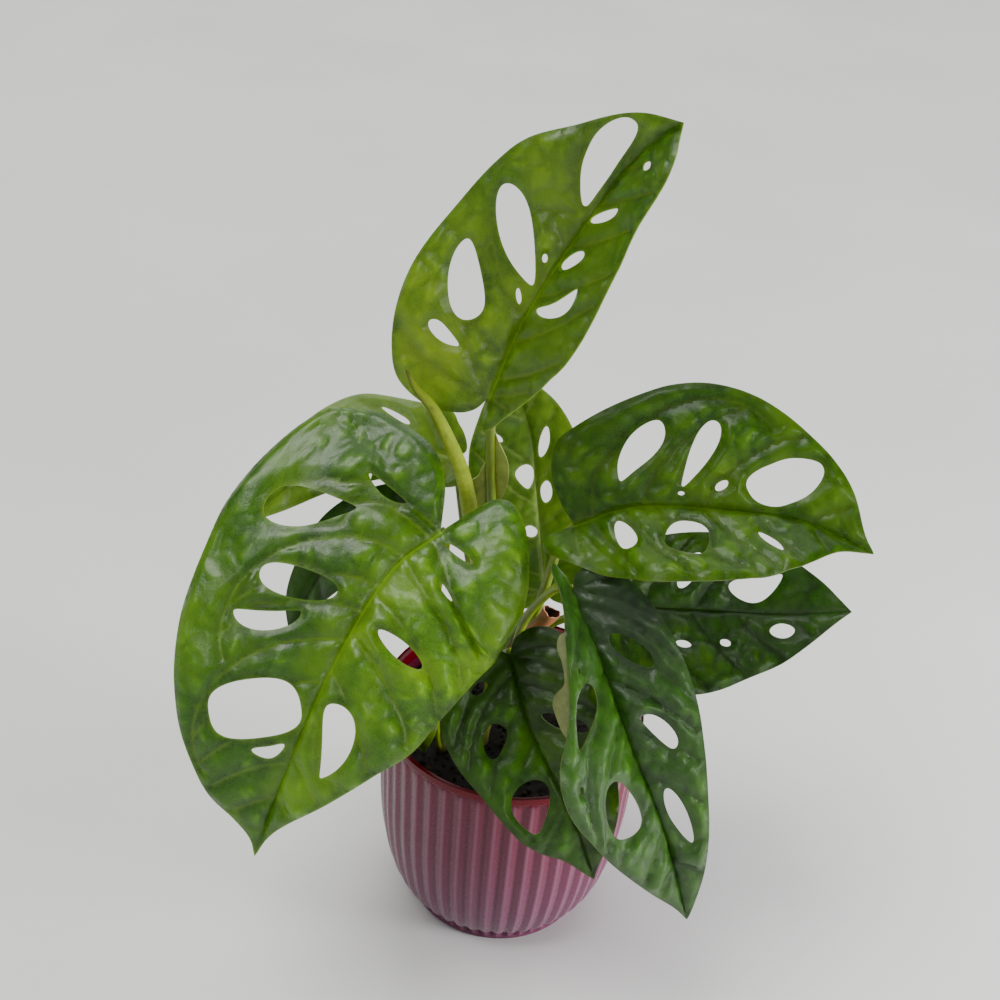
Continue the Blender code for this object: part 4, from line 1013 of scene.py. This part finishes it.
def pot_profile():
    """Rings of the pot from the underside round to the floor inside: radius, height and rib depth."""
    lip_low = POT_HEIGHT - LIP_HEIGHT
    rows = [(FOOT_RADIUS - 6, 0.0, 0), (FOOT_RADIUS - FOOT_CHAMFER, 0.0, 0), (FOOT_RADIUS - 0.15, 0.25, 0)]
    rows += [(FOOT_RADIUS, 0.8, 0), (FOOT_RADIUS, 1.6, 0)]
    rows += [(FOOT_RADIUS - d, h, d) for d, h in ((0.5, 2.2), (0.9, 3.0), (0.9, 4.6), (0.8, 5.8), (0.5, 6.4))]
    rows += [(FOOT_RADIUS - 0.6, 6.8, 0), (FOOT_RADIUS - 1.1, 7.2, 0), (FOOT_RADIUS - 1.1, 7.7, 0)]
    heights = [FOOT_HEIGHT + x for x in (0.05, 0.4, 1.0, 1.8, 2.8, 4.0)]
    heights += list(np.linspace(15, RIB_TOP - 0.5, 34))
    heights += [RIB_TOP + x for x in (0.6, 1.6, 2.5, 3.2, 3.7, 4.0)]
    rows += [(body_radius(h), h, rib_depth(h)) for h in heights]
    rows += [(body_radius(lip_low), lip_low - 0.6, 0), (body_radius(lip_low) + 0.35, lip_low - 0.1, 0)]
    rows += [(RIM_RADIUS - 0.35, lip_low + 0.15, 0), (RIM_RADIUS - 0.05, lip_low + 0.7, 0)]
    rows += [(RIM_RADIUS, lip_low + h, 0) for h in (1.6, 3.4, 4.9)]
    inside_top = inner_radius(POT_HEIGHT)
    rows += [(RIM_RADIUS - 0.12, 129.55, 0), (RIM_RADIUS - 0.45, 129.88, 0), (RIM_RADIUS - 0.9, 130.0, 0)]
    rows += [(inside_top + 0.9, 130.0, 0), (inside_top + 0.3, 129.8, 0), (inside_top, 129.2, 0)]
    rows += [(inner_radius(h), h, 0) for h in (127, 123, 118, 110, 87, 62, 40, 22, 12)]
    return rows + [(FLOOR_RADIUS, FLOOR_THICKNESS, 0)]


def make_pot(finishes):
    count = RIB_COUNT * RIB_POINTS
    turns = circle(count)
    off = np.abs((np.arange(count) / RIB_POINTS) % 1 - 0.5) * 2
    swell = 0.5 + 0.5 * np.cos(pi * off)
    rows = pot_profile()
    points = [(0.0, 0.0, 0.0)]
    values = []
    for radius, height, depth in rows:
        r = radius + depth * swell
        points += list(np.stack([r * np.cos(turns), r * np.sin(turns), turns * 0 + height], -1))
        # rib: 1 on each crest and 0 in each groove, for the finish's painted highlights and painted shade
        values += list(1 - off if depth > 0 else off * 0 + 0.5)
    points.append((0.0, 0.0, FLOOR_THICKNESS))
    lips = [height > POT_HEIGHT - LIP_HEIGHT - 0.2 for _, height, _ in rows[:-1]]
    kinds = np.repeat([0, *lips, 0], count)
    parts = [finishes["pot"], finishes["pot_lip"]]
    made = add_object("pot_shell", points, ring_faces(len(rows), count), parts, kinds,
                      {"rib": [0.5, *values, 0.5]}, sharp=35)
    return fit(made, "pot", "pot")


def soil_height(x, y):
    """Low waves for the loose surface, fading out at the wall."""
    swing = np.sin(x / 6.1 + 0.7) * np.cos(y / 7.3) + 0.6 * np.sin((x + y) / 4.2)
    edge = np.maximum(0.0, 1.0 - (x * x + y * y) / inner_radius(SOIL_TOP) ** 2)
    return SOIL_TOP + SOIL_BUMP * swing * edge + SOIL_CROWN * edge


def make_soil(finishes):
    """The loose surface, closed underneath by a plain body inside the pot."""
    radius = inner_radius(SOIL_TOP) - 0.1
    turns = circle(SOIL_SIDES)
    points = [(0.0, 0.0, float(soil_height(0.0, 0.0)))]
    for k in range(1, SOIL_RINGS + 1):
        r = radius * k / SOIL_RINGS
        x, y = r * np.cos(turns), r * np.sin(turns)
        flat = np.stack([x, y], -1)
        rough = wave(flat, 5.0, 1.5) * 1.1 + wave(flat, 2.2, 6.5) * 0.8 + wave(flat, 13, 2.5) * 1.2
        rough *= ease((SOIL_RINGS - k) / 3)
        points += list(np.stack([x, y, soil_height(x, y) + rough], -1))
    bottom = FLOOR_THICKNESS + 0.3
    body = [(inner_radius(height) - 0.3, height) for height in SOIL_BODY] + [(FLOOR_RADIUS - 1, bottom)]
    points += [(r * cos(t), r * sin(t), height) for r, height in body for t in turns]
    points.append((0.0, 0.0, bottom))
    faces = ring_faces(SOIL_RINGS + len(body), SOIL_SIDES, flip=True)
    made = add_object("soil_body", points, faces, [finishes["soil"]], sharp=70)
    fit(made, "soil", "soil")
    fit(make_crumbs(finishes["soil_crumb"]), "soil")


def make_crumbs(finish):
    """Loose crumbs and short fibres that lie on the soil, in one mesh."""
    chance = np.random.default_rng(11)
    ball = unit(np.array(BALL_POINTS, float))
    points, faces, tone = [], [], []
    for k in range(CRUMBS):
        r = (inner_radius(SOIL_TOP) - 3.0) * chance.random() ** 0.5
        turn = chance.random() * 2 * pi
        x, y = r * cos(turn), r * sin(turn)
        fibre = k % 9 == 0
        size = chance.uniform(0.5, 1.9)
        scale = np.array(FIBRE_SCALE) if fibre else size * chance.uniform(0.6, 1.2, 3)
        rotation = Matrix.Rotation(chance.random() * 2 * pi, 3, "Z")
        rotation = rotation @ Matrix.Rotation(chance.uniform(-0.5, 0.5), 3, "Y")
        shape = ball * chance.uniform(0.75, 1.2, (12, 1)) * scale
        shape = shape @ np.array(rotation).T
        rise = float(soil_height(x, y)) + (0.6 if fibre else size * 0.3)
        faces += [tuple(len(points) + v for v in tri) for tri in BALL_FACES]
        points += list(shape + (x, y, rise))
        tone += [float(chance.random())] * 12
    return add_object("soil_crumbs", points, faces, [finish], values={"tone": tone}, sharp=80)


class Graph:
    """Short ways to add the nodes of one material."""

    def __init__(self, name, **settings):
        self.material = bpy.data.materials.new(name)
        self.material.use_nodes = True
        self.tree = self.material.node_tree
        self.shader = self.tree.nodes["Principled BSDF"]
        for key, value in settings.items():
            self.shader.inputs[key.replace("_", " ")].default_value = value

    def node(self, kind, **inputs):
        made = self.tree.nodes.new(kind)
        for key, value in inputs.items():
            self.feed(made.inputs[key.replace("_", " ")], value)
        return made

    def feed(self, socket, value):
        if isinstance(value, bpy.types.NodeSocket):
            self.tree.links.new(value, socket)
        else:
            socket.default_value = value

    def attribute(self, name):
        made = self.tree.nodes.new("ShaderNodeAttribute")
        made.attribute_name = name
        return made.outputs["Vector"] if name == "place" else made.outputs["Fac"]

    def math(self, operation, a, b=0.0, clamp=False):
        made = self.tree.nodes.new("ShaderNodeMath")
        made.operation = operation
        made.use_clamp = clamp
        self.feed(made.inputs[0], a)
        self.feed(made.inputs[1], b)
        return made.outputs[0]

    def scaled(self, name, share):
        return self.math("MULTIPLY", self.attribute(name), share)

    def noise(self, scale, detail=3.0, rough=0.55, place=None):
        where = self.attribute("place") if place is None else place
        made = self.node("ShaderNodeTexNoise", Vector=where, Scale=scale, Detail=detail, Roughness=rough)
        return made.outputs["Fac"]

    def cells(self, scale, feature="DISTANCE_TO_EDGE"):
        made = self.tree.nodes.new("ShaderNodeTexVoronoi")
        made.feature = feature
        self.feed(made.inputs["Vector"], self.attribute("place"))
        made.inputs["Scale"].default_value = scale
        return made.outputs["Distance"]

    def span(self, value, low, high, to_low=0.0, to_high=1.0):
        made = self.tree.nodes.new("ShaderNodeMapRange")
        self.feed(made.inputs["Value"], value)
        for key, number in (("From Min", low), ("From Max", high), ("To Min", to_low), ("To Max", to_high)):
            made.inputs[key].default_value = number
        return made.outputs["Result"]

    def mix(self, share, a, b, blend="MIX"):
        made = self.tree.nodes.new("ShaderNodeMix")
        made.data_type = "RGBA"
        made.blend_type = blend
        self.feed(made.inputs["Factor"], share)
        for socket, value in ((made.inputs[6], a), (made.inputs[7], b)):
            self.feed(socket, value if isinstance(value, bpy.types.NodeSocket) else (*value, 1.0))
        return made.outputs[2]

    def colour(self, value):
        self.feed(self.shader.inputs["Base Color"], value)

    def bump(self, height, strength, distance, before=None):
        made = self.node("ShaderNodeBump", Height=height)
        made.inputs["Strength"].default_value = strength
        made.inputs["Distance"].default_value = distance * MM
        if before is not None:
            self.feed(made.inputs["Normal"], before)
        return made.outputs["Normal"]

    def surface(self, rough=None, normal=None):
        if rough is not None:
            self.feed(self.shader.inputs["Roughness"], rough)
        if normal is not None:
            self.feed(self.shader.inputs["Normal"], normal)
        return self.material


def tint(red, green, blue):
    """A colour given as screen values from 0 to 255, as linear values."""
    return tuple(((c / 255 + 0.055) / 1.055) ** 2.4 if c > 10 else c / 255 / 12.92
                 for c in (red, green, blue))


def leaf_finish(name, tones, rib, gloss=0.36, through=0.12, painted_half_shading=((1, 1, 1), (1, 1, 1)), shine=0.36,
                painted_lighting=PAINTED_GLOW):
    """A leaf's upper skin: painted shade deeper in the creases, painted light on the swellings, with fine
    pale veins and a net.

    Each half's colour is scaled as painted light on one half and painted shade on the other, and one
    patch is lightened as painted light or, on leaf_dark, darkened as painted shade.
    """
    deep, middle, light, patch = (tint(*tone) for tone in tones)
    g = Graph(name, IOR=1.45, Specular_IOR_Level=shine, Subsurface_Weight=through, Subsurface_Scale=0.003,
              Subsurface_Radius=GREEN_DEPTH, Coat_Weight=0.12, Coat_Roughness=0.2)
    bulge, pucker = g.attribute("bulge"), g.attribute("pucker")
    broad = g.noise(34, 2.0)
    small = g.noise(420, 4.0, 0.65)
    net = g.span(g.cells(900), 0.0, 0.16)
    height = g.math("ADD", g.math("MULTIPLY", bulge, 0.4), g.math("MULTIPLY", pucker, 0.55))
    height = g.math("ADD", height, g.math("MULTIPLY", g.math("SUBTRACT", small, 0.5), 0.18))
    # Painted shade in the creases and painted light on the swellings, mixed by the relief's height
    base = g.mix(g.span(height, 0.05, 0.6), deep, middle)
    base = g.mix(g.span(height, 0.6, 1.0, 0.0, 0.8), base, light)
    base = g.mix(g.span(broad, 0.42, 0.75, 0.0, 0.6), base, patch)
    base = g.mix(g.math("MULTIPLY", g.math("SUBTRACT", 1.0, net), 0.18), base, light)
    # Painted light and shade by halves: one half's colour scaled lighter, the other darker
    base = g.mix(1.0, base, g.mix(g.attribute("side"), painted_half_shading[1], painted_half_shading[0]), "MULTIPLY")
    # Painted light: the colour brightened round one patch; for leaf_dark, painted shade darkens it instead
    base = g.mix(g.attribute("painted_lighting"), base, g.mix(1.0, base, painted_lighting, "MULTIPLY"))
    base = g.mix(g.scaled("vein", 0.34), base, tint(*rib))
    base = g.mix(g.scaled("rib", 0.95), base, tint(*rib))
    base = g.mix(g.scaled("edge", 0.3), base, tint(*rib))
    g.colour(base)
    rough = g.span(small, 0.3, 0.7, gloss - 0.05, gloss + 0.1)
    if painted_lighting is PAINTED_SHADE:
        rough = g.math("ADD", rough, g.scaled("painted_lighting", 0.35))
    normal = g.bump(net, 0.3, 0.1)
    normal = g.bump(small, 0.5, 0.3, normal)
    return g.surface(rough, normal)


def make_finishes():
    done = {name: leaf_finish(name, **look) for name, look in LEAF_FINISHES.items()}
    for name, (one, other, scale, rough) in PLAIN_FINISHES.items():
        done[name] = plain_finish(name, tint(*one), tint(*other), scale, rough)
    done["leaf_under"] = under_finish()
    done["petiole"] = petiole_finish()
    done["young"] = young_finish()
    done["stem"] = stem_finish()
    done["soil"] = soil_finish("soil", False)
    done["soil_crumb"] = soil_finish("soil_crumb", True)
    # The pot's body: its foot tone is a painted reflection, and 0.26 the share of its painted crest highlight
    done["pot"] = pot_finish("pot_plastic", (94, 22, 44), (98, 52, 76), 0.26)
    done["pot_lip"] = pot_finish("pot_lip", (90, 1, 18), (86, 2, 22), 0.0, 0.15)
    return done


def under_finish():
    """A leaf's underside: paler and matter, with raised veins."""
    g = Graph("leaf_under", IOR=1.45, Subsurface_Weight=0.15, Subsurface_Scale=0.004,
              Subsurface_Radius=GREEN_DEPTH)
    small = g.noise(380, 4.0, 0.6)
    base = g.mix(g.span(small, 0.3, 0.7), tint(84, 108, 52), tint(112, 134, 76))
    base = g.mix(g.scaled("vein", 0.7), base, tint(142, 158, 96))
    base = g.mix(g.attribute("rib"), base, tint(150, 166, 92))
    base = g.mix(g.scaled("edge", 0.5), base, tint(160, 172, 100))
    g.colour(base)
    net = g.span(g.cells(900), 0.0, 0.16)
    return g.surface(g.span(small, 0.3, 0.7, 0.5, 0.62), g.bump(net, 0.3, 0.15))


def plain_finish(name, one, other, scale, rough):
    g = Graph(name, IOR=1.45, Subsurface_Weight=0.1, Subsurface_Scale=0.003)
    patches = g.noise(scale, 4.0, 0.6)
    fine = g.noise(scale * 6, 3.0, 0.6)
    g.colour(g.mix(g.span(patches, 0.35, 0.65), one, other))
    return g.surface(g.span(fine, 0.3, 0.7, rough - 0.08, rough + 0.12), g.bump(fine, 0.4, 0.2))


def petiole_finish():
    """Olive skin with painted shade darkening its groove, and faint streaks along it."""
    g = Graph("petiole", IOR=1.45, Subsurface_Weight=0.15, Subsurface_Scale=0.004,
              Subsurface_Radius=GREEN_DEPTH, Coat_Weight=0.15, Coat_Roughness=0.3)
    place = g.node("ShaderNodeVectorMath", Vector=g.attribute("place"))
    place.operation = "MULTIPLY"
    place.inputs[1].default_value = (1.0, 1.0, 0.12)
    streak = g.noise(700, 3.0, 0.6, place.outputs[0])
    broad = g.noise(40, 2.0)
    base = g.mix(g.span(streak, 0.35, 0.65), tint(92, 112, 4), tint(112, 134, 12))
    base = g.mix(g.span(broad, 0.45, 0.7, 0.0, 0.6), base, tint(80, 98, 4))
    # Painted shade in the groove: darker olive along it
    base = g.mix(g.scaled("groove_shade", 0.3), base, tint(70, 90, 6))
    g.colour(base)
    return g.surface(g.span(streak, 0.3, 0.7, 0.3, 0.42), g.bump(streak, 0.3, 0.2))


def young_finish():
    """The rolled leaf: yellow-green, darker at the tip, with painted shade along its seam
    and a few brown specks.
    """
    g = Graph("young", IOR=1.45, Specular_IOR_Level=0.3, Subsurface_Weight=0.15, Subsurface_Scale=0.004,
              Subsurface_Radius=GREEN_DEPTH)
    along = g.attribute("along")
    small = g.noise(500, 4.0, 0.6)
    folds = g.noise(140, 3.0, 0.6)
    base = g.mix(g.span(small, 0.35, 0.65), tint(132, 152, 24), tint(150, 168, 48))
    base = g.mix(g.span(folds, 0.4, 0.7, 0.0, 0.6), base, tint(112, 130, 20))
    base = g.mix(g.span(along, 0.7, 0.95, 0.0, 0.9), base, tint(86, 100, 14))
    base = g.mix(g.span(along, 0.96, 1.0, 0.0, 0.8), base, tint(58, 50, 14))
    # Painted shade along the seam, where the free edge overlaps
    base = g.mix(g.scaled("seam", 0.7), base, tint(72, 88, 8))
    base = g.mix(g.attribute("spot"), base, tint(30, 22, 8))
    g.colour(base)
    normal = g.bump(folds, 0.5, 0.8)
    return g.surface(g.span(small, 0.3, 0.7, 0.4, 0.5), g.bump(small, 0.3, 0.2, normal))


def stem_finish():
    g = Graph("stem_bark", IOR=1.45, Subsurface_Weight=0.08, Subsurface_Scale=0.003)
    small = g.noise(600, 5.0, 0.65)
    broad = g.noise(60, 2.0)
    base = g.mix(g.span(broad, 0.4, 0.65), tint(70, 86, 26), tint(96, 92, 40))
    base = g.mix(g.span(small, 0.55, 0.75), base, tint(120, 104, 62))
    base = g.mix(g.scaled("node", 0.7), base, tint(112, 92, 52))
    g.colour(base)
    return g.surface(g.span(small, 0.3, 0.7, 0.45, 0.65), g.bump(small, 0.5, 0.4))


def soil_finish(name, crumb):
    g = Graph(name, IOR=1.4)
    small = g.noise(900, 6.0, 0.7)
    broad = g.noise(120, 3.0, 0.6)
    base = g.mix(g.span(broad, 0.4, 0.65), tint(12, 9, 7), tint(24, 18, 14))
    base = g.mix(g.span(small, 0.5, 0.72), base, tint(44, 33, 25))
    if crumb:
        base = g.mix(g.span(g.attribute("tone"), 0.55, 1.0), base, tint(66, 50, 34))
    g.colour(base)
    return g.surface(g.span(small, 0.3, 0.7, 0.75, 0.95), g.bump(small, 0.8, 0.8))


def pot_finish(name, high, low, painted_crest_highlight, shine=0.25):
    """Satin moulded plastic, redder towards the lip and greyer and bluer towards the foot, that tone a
    painted reflection, with painted highlights on the crests and painted shade in the grooves.
    """
    g = Graph(name, IOR=1.45, Specular_IOR_Level=shine, Coat_Weight=0.06, Coat_Roughness=0.2)
    cloud = g.noise(22, 3.0)
    fine = g.noise(2600, 3.0, 0.6)
    level = g.node("ShaderNodeSeparateXYZ", Vector=g.attribute("place")).outputs["Z"]
    level = g.math("ADD", level, g.math("MULTIPLY", g.math("SUBTRACT", cloud, 0.5), 0.02))
    # Redder towards the lip, greyer and bluer towards the foot, where that tone is a painted reflection
    base = g.mix(g.span(level, 0.03, 0.125), tint(*low), tint(*high))
    # Painted highlight: a paler mauve line along each rib's crest
    base = g.mix(g.span(g.attribute("rib"), 0.7, 0.95, 0.0, painted_crest_highlight), base, tint(158, 116, 138))
    # Painted shade: the grooves between the ribs darkened towards crimson-black
    base = g.mix(g.span(g.attribute("rib"), 0.0, 0.35, 0.6, 0.0), base, tint(52, 10, 24))
    g.colour(base)
    return g.surface(g.span(fine, 0.3, 0.7, 0.25, 0.29), g.bump(fine, 0.1, 0.03))


def make_floor():
    """A pale round floor that curves up a little all round, far away."""
    turns = circle(FLOOR_SIDES)
    points = [(0.0, 0.0, 0.0)] + [(r * cos(t), r * sin(t), z) for r, z in FLOOR_RINGS for t in turns]
    mesh = bpy.data.meshes.new("floor")
    mesh.from_pydata(points, [], ring_faces(len(FLOOR_RINGS), FLOOR_SIDES, flip=True, capped=False))
    mesh.shade_smooth()
    g = Graph("floor_paper", Roughness=0.8)
    where = g.tree.nodes.new("ShaderNodeTexCoord").outputs["Object"]
    g.colour(g.mix(g.span(g.noise(3, 2.0, place=where), 0.3, 0.7), (0.72, 0.72, 0.71), (0.78, 0.78, 0.77)))
    mesh.materials.append(g.material)
    made = bpy.data.objects.new("floor", mesh)
    bpy.context.scene.collection.objects.link(made)


def add_light(name, place, aim, size, power, colour):
    """A soft light beside the plant that is not mirrored in the leaves."""
    data = bpy.data.lights.new(name, "AREA")
    data.shape = "RECTANGLE"
    data.size, data.size_y = size
    data.energy = power
    data.color = colour
    made = bpy.data.objects.new(name, data)
    made.location = place
    made.rotation_euler = (Vector(aim) - Vector(place)).to_track_quat("-Z", "Y").to_euler()
    made.visible_camera = False
    made.visible_glossy = False
    bpy.context.scene.collection.objects.link(made)


def add_sky(name, place, spread, strength, colour, only_gloss=False):
    """A far light as wide as this angle, seen from the origin in this direction, or only its reflection."""
    data = bpy.data.lights.new(name, "SUN")
    data.angle = radians(spread)
    data.energy = strength
    data.color = colour
    made = bpy.data.objects.new(name, data)
    made.rotation_euler = Vector(place).to_track_quat("Z", "Y").to_euler()
    made.visible_diffuse = not only_gloss
    bpy.context.scene.collection.objects.link(made)


def make_lights():
    for name, sun in SUNS.items():
        add_sky(name, **sun)
    add_light("right", **SIDE_LIGHT)
    world = bpy.data.worlds.new("room")
    world.use_nodes = True
    world.node_tree.nodes["Background"].inputs["Color"].default_value = WORLD_COLOUR
    world.node_tree.nodes["Background"].inputs["Strength"].default_value = WORLD_STRENGTH
    bpy.context.scene.world = world


def make_camera():
    """The photograph's view: looking down from the front, tilted a little to one side."""
    pitch, roll = radians(VIEW_PITCH), radians(VIEW_ROLL)
    ahead = Vector((0, cos(pitch), -sin(pitch)))
    level, above = Vector((1, 0, 0)), Vector((0, sin(pitch), cos(pitch)))
    right = level * cos(roll) + above * sin(roll)
    up = above * cos(roll) - level * sin(roll)
    place = Matrix((right, up, -ahead)).transposed().to_4x4()
    place.translation = Vector(VIEW_TARGET) - ahead * VIEW_DISTANCE
    data = bpy.data.cameras.new("camera")
    data.lens = LENS
    data.sensor_width = 36
    data.clip_start = 0.02
    made = bpy.data.objects.new("camera", data)
    made.matrix_world = place
    bpy.context.scene.collection.objects.link(made)
    bpy.context.scene.camera = made


def main():
    finishes = make_finishes()
    make_pot(finishes)
    make_soil(finishes)
    for name, stem in STEMS.items():
        make_stem(name, stem, finishes)
    for number, (name, leaf) in enumerate(LEAVES.items()):
        make_leaf(name, leaf, finishes, number)
    make_rolled_leaf(finishes["young"])
    make_floor()
    make_lights()
    make_camera()
    bpy.context.view_layer.update()


main()
